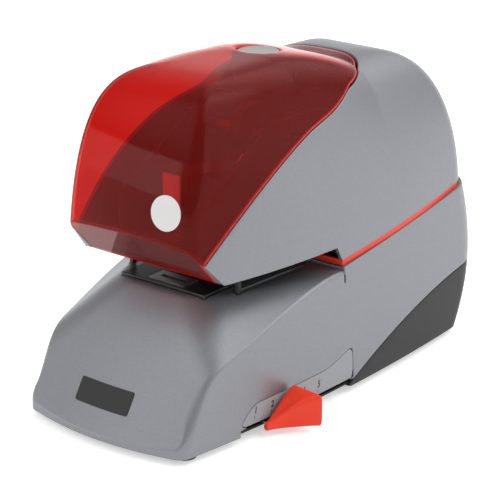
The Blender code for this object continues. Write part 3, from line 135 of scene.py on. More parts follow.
def halfOutline(plan):
    # right half of a shell seen from above, from the front middle round to the rear middle
    frontEnd = plan["front"] + plan["bow"] + plan["frontRadius"]
    rearStart = plan["rear"] - plan["rearRadius"]
    across = sideWidth(plan, frontEnd) - plan["frontRadius"]
    x = np.linspace(0, across, 40)[:-1]
    ahead = np.stack([x, plan["front"] + plan["bow"] * (x / across) ** 2], 1)
    corner = arcPoints((across, frontEnd), plan["frontRadius"], plan["bowAngle"] - 90, -plan["sideAngle"])
    y = np.linspace(frontEnd, rearStart, 160)[1:-1]
    flank = np.stack([sideWidth(plan, y), y], 1)
    rearCorner = arcPoints((sideWidth(plan, rearStart) - plan["rearRadius"], rearStart), plan["rearRadius"], 3, 90)
    return softened(np.vstack([ahead, corner, flank, rearCorner, [(0, plan["rear"])]]), 0.0004, 0.0016)


def columnSpots(outline, spacing, turnStep, exact):
    # columns closer together where the outline turns, and one at each exact distance along the stapler
    length = arcLength(outline)
    along = np.diff(outline, axis=0)
    turn = np.abs(np.diff(np.unwrap(np.arctan2(along[:, 1], along[:, 0]))))
    turned = np.concatenate([[0, 0], np.cumsum(turn)])
    weight = length / spacing + turned / turnStep
    spots = np.interp(np.linspace(0, weight[-1], int(weight[-1]) + 1), weight, length)
    for y in exact:
        spot = np.interp(y, outline[:, 1], length)
        spots = spots[np.abs(spots - spot) > spacing * 0.4]
        spots = np.sort(np.append(spots, spot))
    return pointsAlong(outline, spots)


def sideOfLine(points, line):
    # signed distance to an open or closed line in a plane, positive on its left
    best, signed = np.full(len(points), np.inf), np.zeros(len(points))
    for start, end in zip(line[:-1], line[1:]):
        along = end - start
        size = along @ along
        if size == 0:
            continue
        share = np.clip((points - start) @ along / size, 0, 1)
        away = points - start - share[:, None] * along
        distance = np.hypot(away[:, 0], away[:, 1])
        cross = along[0] * (points[:, 1] - start[1]) - along[1] * (points[:, 0] - start[0])
        near = distance < best - 1e-9
        best[near], signed[near] = distance[near], np.copysign(distance, cross)[near]
    return signed


def insideLine(points, line):
    # signed distance to a closed line in a plane, positive inside
    inside = np.zeros(len(points), bool)
    for (startY, startZ), (endY, endZ) in zip(line[:-1], line[1:]):
        if startZ == endZ:
            continue
        spans = (startZ > points[:, 1]) != (endZ > points[:, 1])
        inside ^= spans & (points[:, 0] < startY + (points[:, 1] - startZ) / (endZ - startZ) * (endY - startY))
    distance = np.abs(sideOfLine(points, line))
    return np.where(inside, distance, -distance)


def roundedBox(first, second, middle, half, radius):
    # signed distance to a rectangle with round corners, positive outside
    away = np.stack([np.abs(first - middle[0]) - half[0] + radius, np.abs(second - middle[1]) - half[1] + radius])
    return np.hypot(*np.maximum(away, 0)) + np.minimum(away.max(0), 0) - radius


def gridSheet(grid, closed=False, sheet=None):
    # grid[column][row] is a point; faces look outwards when columns run round and rows run down
    sheet = sheet or bmesh.new()
    columns, rows = len(grid), len(grid[0])
    verts = [[sheet.verts.new(point) for point in column] for column in grid]
    for column in range(columns if closed else columns - 1):
        here, there = verts[column], verts[(column + 1) % columns]
        for row in range(rows - 1):
            sheet.faces.new((here[row], here[row + 1], there[row + 1], there[row]))
    bmesh.ops.remove_doubles(sheet, verts=sheet.verts, dist=1e-5)
    return sheet


def trimSheet(sheet, field):
    # cuts a sheet where the field passes zero and keeps what lies above
    sheet.verts.index_update()
    values = field(np.array([vert.co for vert in sheet.verts]))
    value = {vert: float(number) for vert, number in zip(sheet.verts, values)}
    moves = {}
    for edge in sheet.edges:
        first, second = edge.verts
        if value[first] * value[second] >= 0:
            continue
        share = value[first] / (value[first] - value[second])
        if share < 0.2 or share > 0.8:
            vert = first if share < 0.2 else second
            spot = first.co.lerp(second.co, share)
            if vert not in moves or (spot - vert.co).length < (moves[vert] - vert.co).length:
                moves[vert] = spot
    for vert, spot in moves.items():
        vert.co = spot
        value[vert] = 0.0
    for edge in list(sheet.edges):
        first, second = edge.verts
        if value[first] * value[second] < 0:
            made = bmesh.utils.edge_split(edge, first, value[first] / (value[first] - value[second]))[1]
            value[made] = 0.0
    for face in list(sheet.faces):
        ring = [value[vert] for vert in face.verts]
        if min(ring) < 0 < max(ring):
            zeros = [vert for vert in face.verts if value[vert] == 0]
            if len(zeros) >= 2:
                bmesh.utils.face_split(face, zeros[0], zeros[-1] if len(zeros) == 2 else zeros[1])
    gone = [face for face in sheet.faces if sum(value[vert] for vert in face.verts) <= 0]
    bmesh.ops.delete(sheet, geom=gone, context="FACES")
    return sheet


def shellFromSheet(sheet, thickness, edgeRadius, steps=3):
    # a closed shell: the sheet outside, a rounded rim, and the sheet again further in
    sheet.normal_update()
    sheet.verts.index_update()
    outward = {}
    for edge in sheet.edges:
        if len(edge.link_loops) == 1:
            loop = edge.link_loops[0]
            first, second = loop.vert, loop.link_loop_next.vert
            side = (second.co - first.co).cross(loop.face.normal).normalized()
            for vert in (first, second):
                outward.setdefault(vert, []).append(side)
    rims = {}
    faces = [[vert.index for vert in face.verts] for face in sheet.faces]
    points = [vert.co.copy() for vert in sheet.verts]
    inner = {}
    for vert in sheet.verts:
        inner[vert.index] = len(points)
        points.append(vert.co - vert.normal * thickness)
    for vert, sides in outward.items():
        way = sum(sides, Vector())
        way = way.normalized() * min(1.4, 1 / max(0.5, way.length / len(sides)))
        ring = []
        for step in range(1, steps + 1):
            angle = math.pi / 2 * step / steps
            ring.append(vert.co + way * edgeRadius * math.sin(angle)
                        - vert.normal * edgeRadius * (1 - math.cos(angle)))
        ring.append(vert.co + way * edgeRadius - vert.normal * thickness)
        rims[vert.index] = [vert.index] + list(range(len(points), len(points) + len(ring))) + [inner[vert.index]]
        points += ring
    faces += [[inner[index] for index in reversed(face)] for face in list(faces)]
    # the rim's faces come last
    for edge in sheet.edges:
        if len(edge.link_loops) == 1:
            loop = edge.link_loops[0]
            here, there = rims[loop.vert.index], rims[loop.link_loop_next.vert.index]
            for step in range(len(here) - 1):
                faces.append([there[step], here[step], here[step + 1], there[step + 1]])
    return points, faces


def makePiece(name, parts, material, body, replaced=(), sharp=38, rim=None):
    # parts is a list of (points, faces); the piece is moved from the stapler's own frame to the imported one,
    # and rim is a count of last faces with their own finish
    points, faces = [], []
    for partPoints, partFaces in parts:
        faces += [[index + len(points) for index in face] for face in partFaces]
        points += [Vector(point) + frameShift for point in partPoints]
    mesh = bpy.data.meshes.new(name)
    mesh.from_pydata(points, [], faces)
    mesh.validate()
    mesh.polygons.foreach_set("use_smooth", [True] * len(mesh.polygons))
    mesh.set_sharp_from_angle(angle=math.radians(sharp))
    mesh.materials.append(material)
    if rim:
        mesh.materials.append(rim[1])
        for polygon in list(mesh.polygons)[len(faces) - rim[0]:]:
            polygon.material_index = 1
    piece = bpy.data.objects.new(name, mesh)
    bpy.context.scene.collection.objects.link(piece)
    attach(piece, body)
    if replaced:
        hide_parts(*replaced)
    return piece


def lathe(profile, middle, sides=64):
    # (radius, height) pairs from the lower middle out and up to the upper middle
    points, faces = [], []
    for radius, height in profile:
        for side in range(sides):
            angle = 2 * math.pi * side / sides
            points.append((middle[0] + radius * math.cos(angle), middle[1] + radius * math.sin(angle),
                           middle[2] + height))
    for row in range(len(profile) - 1):
        for side in range(sides):
            after = (side + 1) % sides
            low, high = row * sides, (row + 1) * sides
            faces.append([low + side, low + after, high + after, high + side])
    faces.append([side for side in reversed(range(sides))])
    faces.append([(len(profile) - 1) * sides + side for side in range(sides)])
    return points, faces


def loftRings(rings):
    # a closed solid through rings of equally many points that run the same way round
    points = [point for ring in rings for point in ring]
    count = len(rings[0])
    faces = []
    for row in range(len(rings) - 1):
        for index in range(count):
            after = (index + 1) % count
            faces.append([row * count + index, row * count + after, (row + 1) * count + after,
                          (row + 1) * count + index])
    faces.append(list(reversed(range(count))))
    faces.append([(len(rings) - 1) * count + index for index in range(count)])
    return points, faces


def softBox(low, high, radius, steps=3):
    # a block with all its edges rounded
    low, high = np.array(low), np.array(high)
    middle, half = (low + high) / 2, (high - low) / 2
    radius = min(radius, min(half) * 0.98)
    rings = []
    corner = np.radians(np.linspace(0, 90, steps + 1))
    levels = [(-half[2] + radius * (1 - math.sin(a)), radius * (1 - math.cos(a))) for a in corner[::-1]]
    levels += [(-height, sunk) for height, sunk in reversed(levels)]
    for height, sunk in levels:
        ring = []
        for turn, (sideX, sideY) in enumerate(((1, 1), (-1, 1), (-1, -1), (1, -1))):
            for a in corner:
                angle = a + turn * math.pi / 2
                reach = radius - sunk
                ring.append((middle[0] + sideX * (half[0] - radius) + reach * math.cos(angle),
                             middle[1] + sideY * (half[1] - radius) + reach * math.sin(angle),
                             middle[2] + height))
        rings.append(ring)
    return loftRings(rings)


# finishes
def nodeTree(name):
    material = bpy.data.materials.new(name)
    material.use_nodes = True
    tree = material.node_tree
    return material, tree, tree.nodes["Principled BSDF"]


def addNode(tree, kind, values=None, **links):
    # one node with its plain input values, and links by input name with _ for a space
    node = tree.nodes.new(kind)
    for key, value in (values or {}).items():
        if isinstance(key, int) or key in node.inputs:
            node.inputs[key].default_value = value
        else:
            setattr(node, key, value)
    for key, source in links.items():
        tree.links.new(source, node.inputs[key.replace("_", " ")])
    return node


number, colour = "NodeSocketFloat", "NodeSocketColor"


def worked(tree, operation, *terms):
    # the result of a Math node on numbers and sockets
    node = addNode(tree, "ShaderNodeMath", {"operation": operation})
    for socket, term in zip(node.inputs, terms):
        if isinstance(term, (int, float)):
            socket.default_value = term
        else:
            tree.links.new(term, socket)
    return node.outputs[0]


def newGroup(name, inputs):
    # every group gives its colour, its roughness and the height of its relief
    tree = bpy.data.node_groups.new(name, "ShaderNodeTree")
    for label, kind, value in inputs:
        socket = tree.interface.new_socket(label, in_out="INPUT", socket_type=kind)
        socket.default_value = value
    for label, kind in (("Color", colour), ("Roughness", number), ("Height", number)):
        tree.interface.new_socket(label, in_out="OUTPUT", socket_type=kind)
    place = addNode(tree, "ShaderNodeTexCoord").outputs["Object"]
    return tree, tree.nodes.new("NodeGroupInput").outputs, place


def giveOut(tree, tone, amount, roughness, height):
    # the tone times an amount, and the other results, at the group's outputs
    shade = addNode(tree, "ShaderNodeVectorMath", {"operation": "SCALE"}, Scale=amount)
    tree.links.new(tone, shade.inputs[0])
    out = tree.nodes.new("NodeGroupOutput")
    for label, source in (("Color", shade.outputs[0]), ("Roughness", roughness), ("Height", height)):
        tree.links.new(source, out.inputs[label])
    return tree


def mixedSurface(tree, share, first, second):
    # the material's surface, from one shader to another by the share
    mix = addNode(tree, "ShaderNodeMixShader")
    for socket, source in zip(mix.inputs, (share, first, second)):
        tree.links.new(source, socket)
    tree.links.new(mix.outputs[0], tree.nodes["Material Output"].inputs["Surface"])


def mouldedGrainGroup():
    # fine spark-eroded grain of moulded plastic, slow drift in tone, and faint handling marks
    tree, given, place = newGroup("mouldedGrain", [
        ("Tone", colour, (0.5, 0.5, 0.5, 1)), ("Roughness", number, 0.5), ("Grain Scale", number, 1800.0),
        ("Drift", number, 0.06), ("Marks", number, 0.05)])
    grain = addNode(tree, "ShaderNodeTexNoise", {"Detail": 3.0, "Roughness": 0.6}, Vector=place,
                    Scale=given["Grain Scale"]).outputs["Fac"]
    drift = addNode(tree, "ShaderNodeTexNoise", {"Scale": 14.0, "Detail": 2.0}, Vector=place).outputs["Fac"]
    stretched = addNode(tree, "ShaderNodeMapping", {"Scale": (90.0, 900.0, 300.0)}, Vector=place)
    rubbed = addNode(tree, "ShaderNodeTexNoise", {"Scale": 1.0, "Detail": 4.0}, Vector=stretched.outputs["Vector"])
    marks = addNode(tree, "ShaderNodeMapRange", {"From Min": 0.58, "From Max": 0.75}, Value=rubbed.outputs["Fac"])
    amount = worked(tree, "MULTIPLY_ADD", worked(tree, "SUBTRACT", drift, 0.5), given["Drift"], 1.0)
    worn = worked(tree, "MULTIPLY", marks.outputs[0], given["Marks"])
    rough = worked(tree, "ADD", given["Roughness"], worn)
    return giveOut(tree, given["Tone"], amount, worked(tree, "MULTIPLY_ADD", grain, 0.10, rough), grain)


def paintFlakeGroup():
    # metal flakes in clear paint: each tiny cell has its own brightness and lies a little differently
    tree, given, place = newGroup("paintFlake", [
        ("Tone", colour, (0.4, 0.4, 0.4, 1)), ("Flake Scale", number, 2400.0), ("Sparkle", number, 0.3),
        ("Roughness", number, 0.4)])
    flake = addNode(tree, "ShaderNodeTexVoronoi", {}, Vector=place, Scale=given["Flake Scale"])
    cloud = addNode(tree, "ShaderNodeTexNoise", {"Scale": 320.0, "Detail": 5.0, "Roughness": 0.7}, Vector=place)
    parts = addNode(tree, "ShaderNodeSeparateColor", {}, Color=flake.outputs["Color"]).outputs
    mixed = worked(tree, "ADD", parts[0], cloud.outputs["Fac"])
    amount = worked(tree, "MULTIPLY_ADD", worked(tree, "SUBTRACT", mixed, 1.0), given["Sparkle"], 1.0)
    rough = worked(tree, "MULTIPLY_ADD", parts[1], 0.12, given["Roughness"])
    return giveOut(tree, given["Tone"], amount, rough, mixed)


def brushedMetalGroup():
    # drawn or ground metal: long scratches one way, and a cloudy film of oil
    tree, given, place = newGroup("brushedMetal", [
        ("Tone", colour, (0.5, 0.5, 0.5, 1)), ("Roughness", number, 0.3),
        ("Stretch", "NodeSocketVector", (1, 30, 30))])
    stretched = addNode(tree, "ShaderNodeVectorMath", {"operation": "MULTIPLY"})
    tree.links.new(place, stretched.inputs[0])
    tree.links.new(given["Stretch"], stretched.inputs[1])
    lines = addNode(tree, "ShaderNodeTexNoise", {"Scale": 120.0, "Detail": 4.0}, Vector=stretched.outputs[0])
    film = addNode(tree, "ShaderNodeTexNoise", {"Scale": 60.0, "Detail": 3.0}, Vector=place)
    amount = addNode(tree, "ShaderNodeMapRange", {"To Min": 0.75, "To Max": 1.2}, Value=lines.outputs["Fac"])
    rough = worked(tree, "MULTIPLY_ADD", film.outputs["Fac"], 0.22, given["Roughness"])
    return giveOut(tree, given["Tone"], amount.outputs[0], rough, lines.outputs["Fac"])


grainGroup, flakeGroup, metalGroup = mouldedGrainGroup(), paintFlakeGroup(), brushedMetalGroup()


def finish(name, group, values, relief, **plain):
    # a material from one of the groups: relief is (strength, distance) of its bump, plain the shader's own values
    material, tree, shader = nodeTree(name)
    surface = tree.nodes.new("ShaderNodeGroup")
    surface.node_tree = group
    for key, value in values.items():
        surface.inputs[key].default_value = value
    tree.links.new(surface.outputs["Color"], shader.inputs["Base Color"])
    tree.links.new(surface.outputs["Roughness"], shader.inputs["Roughness"])
    bump = addNode(tree, "ShaderNodeBump", {"Strength": relief[0], "Distance": relief[1]},
                   Height=surface.outputs["Height"])
    tree.links.new(bump.outputs["Normal"], shader.inputs["Normal"])
    for key, value in plain.items():
        shader.inputs[key.replace("_", " ")].default_value = value
    return material


def redClear(values):
    # tinted see-through plastic with faint moulding ripples and a little dust in its gloss
    material, tree, shader = nodeTree("redClear")
    shader.inputs["Base Color"].default_value = (*values["tint"], 1)
    shader.inputs["Transmission Weight"].default_value = values["clear"]
    shader.inputs["IOR"].default_value = values["ior"]
    place = addNode(tree, "ShaderNodeTexCoord")
    ripple = addNode(tree, "ShaderNodeTexNoise", {"Scale": 28.0, "Detail": 1.0}, Vector=place.outputs["Object"])
    dust = addNode(tree, "ShaderNodeTexNoise", {"Scale": 900.0, "Detail": 4.0, "Roughness": 0.7},
                   Vector=place.outputs["Object"])
    haze = addNode(tree, "ShaderNodeMapRange", {"From Min": 0.55, "From Max": 0.8, "To Min": values["gloss"],
                                                "To Max": values["gloss"] + 0.012}, Value=dust.outputs["Fac"])
    tree.links.new(haze.outputs[0], shader.inputs["Roughness"])
    bump = addNode(tree, "ShaderNodeBump", {"Strength": 0.12, "Distance": 0.0006}, Height=ripple.outputs["Fac"])
    tree.links.new(bump.outputs["Normal"], shader.inputs["Normal"])
    path = addNode(tree, "ShaderNodeLightPath")
    through = addNode(tree, "ShaderNodeBsdfTransparent", {"Color": (*values["shadow"], 1)})
    mixedSurface(tree, path.outputs["Is Shadow Ray"], shader.outputs[0], through.outputs[0])
    return material


coverTint = {"tint": (0.66, 0.045, 0.030), "clear": 0.90, "ior": 1.18, "gloss": 0.015, "shadow": (0.72, 0.07, 0.05)}
finishes = {
    "silver_paint": finish("silverPaint", flakeGroup,
                           {"Tone": (0.255, 0.264, 0.287, 1), "Flake Scale": 1900.0, "Sparkle": 0.10,
                            "Roughness": 0.36},
                           (0.06, 0.0001), Metallic=0.55, Coat_Weight=0.15, Coat_Roughness=0.25),
    "dark_plastic": finish("darkPlastic", grainGroup,
                           {"Tone": (0.030, 0.030, 0.032, 1), "Roughness": 0.45, "Grain Scale": 1500.0},
                           (0.25, 0.0002), Specular_IOR_Level=0.3),
    "black_plastic": finish("blackPlastic", grainGroup,
                            {"Tone": (0.012, 0.0115, 0.011, 1), "Roughness": 0.3, "Grain Scale": 1400.0},
                            (0.2, 0.0002)),
    "orange_plastic": finish("orangePlastic", grainGroup,
                             {"Tone": (1.0, 0.045, 0.008, 1), "Roughness": 0.36, "Grain Scale": 1600.0, "Drift": 0.1},
                             (0.18, 0.0002)),
    "steel": finish("steel", metalGroup, {"Tone": (0.58, 0.57, 0.55, 1), "Roughness": 0.2}, (0.1, 0.0001),
                    Metallic=1.0),
    "button_grey": finish("buttonGrey", grainGroup,
                          {"Tone": (0.38, 0.40, 0.385, 1), "Roughness": 0.38, "Grain Scale": 1600.0}, (0.2, 0.0002)),
    "white_label": finish("labelGrey", grainGroup,
                          {"Tone": (0.34, 0.35, 0.38, 1), "Roughness": 0.4, "Grain Scale": 2200.0}, (0.1, 0.0001)),
    "brass": finish("brass", metalGroup, {"Tone": (0.66, 0.42, 0.14, 1), "Roughness": 0.24}, (0.1, 0.0001),
                    Metallic=1.0),
    "board_green": finish("boardGreen", grainGroup,
                          {"Tone": (0.02, 0.12, 0.05, 1), "Roughness": 0.3, "Grain Scale": 700.0, "Drift": 0.4},
                          (0.2, 0.0002)),
    "rubber": finish("rubber", grainGroup,
                     {"Tone": (0.012, 0.012, 0.012, 1), "Roughness": 0.68, "Grain Scale": 1100.0}, (0.35, 0.0003)),
    "nylon": finish("nylon", grainGroup,
                    {"Tone": (0.62, 0.60, 0.52, 1), "Roughness": 0.45, "Grain Scale": 1300.0}, (0.2, 0.0002)),
    "red_clear": redClear(coverTint),
    # painted glow: the cover's cut rim is an opaque bright red that stands in for light carried through the clear
    # plastic to its edge
    "red_edge": finish("redEdgeGlowPainted", grainGroup,
                       {"Tone": (0.80, 0.012, 0.010, 1), "Roughness": 0.3, "Grain Scale": 2000.0}, (0.1, 0.0001)),
    # painted shade: near-black steel for the parts inside the hood, in place of the shade that falls there
    "dark_steel": finish("shadePaintedSteel", metalGroup, {"Tone": (0.035, 0.032, 0.030, 1), "Roughness": 0.4}, (0.1, 0.0001),
                         Metallic=0.2),
}
# painted shade: the steel parts inside the hood get a near-black finish that stands in for the dark, shaded inside of
# the hood
shadePaintedInside = ("frame_plate_left", "frame_plate_right", "tie_rod_front", "tie_rod_middle", "tie_rod_rear", "driver_arm",
             "cam", "motor", "cam_gear", "idler_gear", "button_cup", "paper_stop_left", "paper_stop_right")
print("finishes made:", len(finishes))

# the hood: red cover in front, silver housing behind
common = {"throatEnd": 0.0066, "throatSlant": 0.005, "ceiling": 0.0953, "seamFront": 0.0838, "seamRise": 0.118,
          "seamHeight": 0.0038, "gap": 0.0004, "rim": 0.0045, "edge": 0.0004, "coverEdge": 0.0013}
hood = {
    "halfWidth": 0.0665, "widestY": 0.045, "front": -0.1155, "bow": 0.0024, "frontDrop": 0.004, "frontRun": 0.085,
    "frontPower": 2.54, "rearDrop": 0.0018, "rearRun": 0.05, "frontRadius": 0.009, "rearRadius": 0.0206,
    "rear": 0.1534, "bowAngle": 4, "sideAngle": 8,
    "level": 0.095, "top": 0.2063, "spine": (-0.0100, 0.0604), "roofCurve": 2.76,
    "sidePowers": (4.31, 1.49), "frontPowers": (6.86, 1.76), "rearPowers": (3.89, 1.88),
    "lipEdge": (-0.112, 0.119), "lipFoot": (-0.090, 0.0954), "lipSoft": 0.0009,
    "spacing": 0.0021, "turnStep": 0.085, "rows": (48, 18, 9), "lipBand": 0.005, "lipRoom": 0.007,
    "coverWall": 0.0022, "housingWall": 0.0024,
}
cover = {"knee": (0.060, 0.1865), "rise": 0.26, "bend": 3.6, "straight": 0.0634, "span": (0.185, -0.05),
         "end": (0.082, 0.1925), "endHalf": 0.050, "endLength": 0.0372, "corner": 0.010, "lipHalf": 0.048,
         "lipRear": -0.075, "lipTop": 0.125, "split": 0.0003}
button = {"y": 0.0075, "radius": 0.0132, "sink": 0.0014, "thick": 0.006, "stem": 0.004, "stemLength": 0.012}


def seamHeight(y):
    return common["seamFront"] + common["seamRise"] * (y - common["throatEnd"])


def hoodPoints(x, y, angle, drop=0.0):
    spine = min(hood["spine"][1], max(hood["spine"][0], y))
    ahead = lean(-y, -hood["spine"][0], -hood["front"])
    behind = lean(y, hood["spine"][1], hood["rear"])
    inwards, upwards = (side + (front - side) * ahead + (rear - side) * behind for side, front, rear in
                        zip(hood["sidePowers"], hood["frontPowers"], hood["rearPowers"]))
    out = np.maximum(0, np.cos(angle)) ** (2 / inwards)
    up = np.maximum(0, np.sin(angle)) ** (2 / upwards)
    roof = hood["top"] - drop - hood["roofCurve"] * (spine - hood["spine"][0]) ** 2
    return np.stack([x * out, spine + (y - spine) * out, hood["level"] + up * (roof - hood["level"])], 1)


def hoodFoot(y):
    # where the hood's wall ends: the throat's ceiling, a slant, then the seam
    seam = seamHeight(y) + common["seamHeight"] / 2 + common["gap"]
    share = lean(y, common["throatEnd"] - common["throatSlant"], common["throatEnd"])
    return common["ceiling"] + (seam - common["ceiling"]) * share


def hoodColumn(x, y):
    line = hoodPoints(x, y, math.pi / 2 * (1 - np.linspace(0, 1, 220) ** 2.2))
    edge, foot = np.array(hood["lipEdge"]), np.array(hood["lipFoot"])
    along = (foot - edge) / np.linalg.norm(foot - edge)
    height = (line[:, 1:] - edge) @ np.array([-along[1], along[0]])
    below = np.nonzero(height < 0)[0]
    if len(below) and line[below[0], 1] < foot[0] - 2e-4:
        first = below[0]
        share = height[first - 1] / (height[first - 1] - height[first])
        turn = line[first - 1] + (line[first] - line[first - 1]) * share
        line = np.vstack([line[:first], turn, [(turn[0], *foot)]])
        corner = arcLength(line)[-2]
    else:
        end = hoodFoot(y)
        line = line[line[:, 2] > end + 1e-4] if end > hood["level"] else line
        line = np.vstack([line, [(x, y, end)]])
        corner = arcLength(line)[-1]
    line = softened(line, 0.0004, hood["lipSoft"])
    length = arcLength(line)[-1]
    corner = min(corner, length - hood["lipRoom"])
    start, end = corner - hood["lipBand"], corner + min(hood["lipBand"], (length - corner) * 0.6)
    wide, close, last = hood["rows"]
    rows = np.concatenate([np.linspace(0, start, wide), np.linspace(start, end, close)[1:],
                           np.linspace(end, length, last)[1:]])
    return pointsAlong(line, rows)


def coverEdgeLine():
    back = np.linspace(*cover["span"], 130)
    fall = cover["rise"] * back + cover["bend"] * np.maximum(0, back - cover["straight"]) ** 2
    return np.stack([cover["knee"][0] - back, cover["knee"][1] - fall], 1)


coverEdge = coverEdgeLine()


def coverField(points):
    # positive on the cover's side of the split, in metres: over the side edge, ahead of the round end, or in the lip
    edge = sideOfLine(points[:, 1:], coverEdge)
    half, length = cover["endHalf"], cover["endLength"]
    across = np.abs(points[:, 0])
    back = points[:, 1] - points[:, 2] + cover["end"][1] - cover["end"][0] + length
    size = np.hypot(across / half, back / length)
    steep = np.hypot(across / half ** 2, back / length ** 2)
    end = np.where(back > 0, (1 - size) * size / np.maximum(steep, 1e-6), half - back - across) * 0.75
    lip = np.minimum(np.minimum(cover["lipHalf"] - across, cover["lipRear"] - points[:, 1]),
                     cover["lipTop"] - points[:, 2])
    return np.maximum(softLower(edge, end, cover["corner"]), lip)


def mirrorColumns(half):
    return [column * np.array([-1, 1, 1]) for column in reversed(half)]


def inwardAlong(outline):
    along = np.gradient(outline, axis=0)
    return np.stack([-along[:, 1], along[:, 0]], 1) / np.linalg.norm(along, axis=1)[:, None]


hoodOutline = halfOutline(hood)
hoodSpots = columnSpots(hoodOutline, hood["spacing"], hood["turnStep"],
                        (hood["lipFoot"][0], common["throatEnd"] - common["throatSlant"], common["throatEnd"]))
hoodHalf = [hoodColumn(x, y) for x, y in hoodSpots]
hoodSheet = gridSheet(hoodHalf + mirrorColumns(hoodHalf[1:-1]), closed=True)
print("hood sheet:", len(hoodSheet.faces), "faces")
coverSheet = trimSheet(hoodSheet.copy(), lambda points: coverField(points) - cover["split"] / 2 - common["coverEdge"])
trimSheet(coverSheet, lambda points: np.hypot(points[:, 0], points[:, 1] - button["y"]) - button["radius"]
          - common["gap"] - common["coverEdge"])
upperSheet = trimSheet(hoodSheet, lambda points: -coverField(points) - cover["split"] / 2 - common["edge"])
rimSteps = 3
rimFaces = sum(len(edge.link_loops) == 1 for edge in coverSheet.edges) * (rimSteps + 2)
# the cover's rim faces take the opaque red edge finish, a painted glow of light carried through the clear plastic
coverShell = makePiece("coverShell", [shellFromSheet(coverSheet, hood["coverWall"], common["coverEdge"], rimSteps)],
                       finishes["red_clear"], "cover", ["front_cover"],
                       rim=(rimFaces, finishes["red_edge"]))
upperShell = makePiece("upperShell", [shellFromSheet(upperSheet, hood["housingWall"], common["edge"])],
                       finishes["silver_paint"], "chassis", ["upper_housing"])
print("hood shells:", len(coverShell.data.polygons), len(upperShell.data.polygons))

# the base: silver shell with nose, table and side slopes, dark tray behind
base = {
    "halfWidth": 0.0711, "widestY": 0.011, "front": -0.144, "bow": 0.0069, "frontDrop": 0.0074, "frontRun": 0.119,
    "frontPower": 2.0, "rearDrop": 0.0023, "rearRun": 0.094, "frontRadius": 0.009, "rearRadius": 0.0244,
    "rear": 0.1646, "bowAngle": 10, "sideAngle": 6,
    "noseBend": (-0.1109, 0.0564), "bendRadius": 0.100, "noseBlend": 0.0134, "noseRim": 0.003, "bowSpan": 0.055,
    "table": 0.080, "tableFront": -0.0825, "tableSoft": 0.0012, "slopeTip": (0.0696, 0.0014), "slopeEdgeRun": 0.399,
    "slopeDrops": (0.0593, 3.75, -16.1), "widestZ": 0.0553, "draft": 0.045, "curveBelow": 7.0, "curveAbove": 4.3,
    "stretchY": 0.04,
    "spineFront": -0.070, "cornerRound": 0.0105, "roundPower": 1.8, "wall": 0.0024,
    "insertHalf": 0.0326, "insertRear": 0.0036, "insertCorner": 0.0012,
    # the crease along the sides is sharper by this share, from the first place back to the second
    "sharper": 0.72, "sharperFrom": (-0.125, -0.085), "creaseRounds": 3,
    "spacing": 0.0022, "turnStep": 0.07, "wallRows": (14, 15), "denseWall": 0.007, "topRows": 22,
    # fields that cut one wall or the top alone look only past these
    "onRight": 0.03, "onTop": 0.06, "onSides": 0.05, "onRear": 0.12,
}
slit = {"z": 0.0745, "half": (0.0007, 0.0045)}
throatBar = {"low": 0.0765, "thick": 0.0024, "round": 0.0005, "share": 0.95}
tray = {"startY": 0.0063, "levelY": 0.180, "levelZ": 0.0463, "lead": 0.004, "floorLow": 0.0048, "floorThick": 0.0015,
        "floorInset": 0.0026, "floorEdge": 0.0004, "floorShrink": 0.994, "holeCorner": 0.0015,
        "inlet": (0.026, 0.029, 0.0154, 0.0124), "switch": (-0.026, 0.029, 0.0114, 0.0084)}
scale = {"line": [(0.013, 0.0298), (-0.012, 0.0228), (-0.078, 0.0215), (-0.0895, 0.0125), (-0.090, 0.0092)],
         "low": 0.0092, "gap": 0.00035, "sink": 0.0002, "thick": 0.0008, "slotTop": 0.0084, "slotEnds": (-0.090, 0.014),
         "soft": 0.0035, "rim": 0.0002, "firstMark": (-0.077, 0.0172), "lastMark": (-0.021, 0.0158), "digit": 0.0056,
         "bold": 0.00016, "print": 0.00006, "narrow": 0.86, "slant": 0.18, "tick": (0.0004, 0.0024),
         "tickPlace": (-0.0007, -0.0041, 0)}
stops = {"x": 0.041, "y": -0.062, "width": 0.0024, "depth": 0.003, "play": 0.0007, "travel": 0.057, "tilt": 0.053}


def noseHeight(y):
    bendY, bendZ = base["noseBend"]
    steep = (bendZ - common["rim"]) / (bendY - base["front"])
    gentle = (base["table"] - bendZ) / (base["tableFront"] - bendY)
    radius = base["bendRadius"]
    tangent = radius * math.tan((math.atan(steep) - math.atan(gentle)) / 2)
    start = bendY - tangent * math.cos(math.atan(steep))
    end = bendY + tangent * math.cos(math.atan(gentle))
    middleY = start + radius * math.sin(math.atan(steep))
    middleZ = bendZ + steep * (start - bendY) - radius * math.cos(math.atan(steep))
    bent = middleZ + np.sqrt(np.maximum(0, radius ** 2 - (y - middleY) ** 2))
    return np.where(y <= start, bendZ + steep * (y - bendY), np.where(y >= end, bendZ + gentle * (y - bendY), bent))


def slopeHeight(x, y):
    # level with the table at its edge, and falling to the wall, more so in front
    ahead = np.maximum(0, base["slopeTip"][1] - y)
    edge = base["slopeTip"][0] - base["slopeEdgeRun"] * ahead
    drop = sum(share * ahead ** (power + 1) for power, share in enumerate(base["slopeDrops"]))
    return base["table"] - drop * (np.abs(x) - edge) / np.maximum(0.001, sideWidth(base, y) - edge)


def baseTop(x, y):
    bow = base["bow"] * (np.abs(x) / base["bowSpan"]) ** 2
    nose = noseHeight(y - bow * lean(-y, -base["tableFront"], -base["front"])) + base["noseRim"]
    return softLower(base["table"], softLower(nose, slopeHeight(x, y), base["noseBlend"]), base["tableSoft"])


def basePoints(points):
    # leans the upright walls: sides drawn in towards the top, the rear swelling at its widest level
    x, y, z = points.T
    curve = np.where(z > base["widestZ"], base["curveAbove"], base["curveBelow"])
    rear = base["rear"] - curve * (z - base["widestZ"]) ** 2
    still = base["stretchY"]
    stretched = still + (y - still) * (rear - still) / (base["rear"] - still)
    x = x * (1 - base["draft"] * (z - common["rim"]) / base["halfWidth"])
    return np.stack([x, np.where(y > still, stretched, y), z], 1)


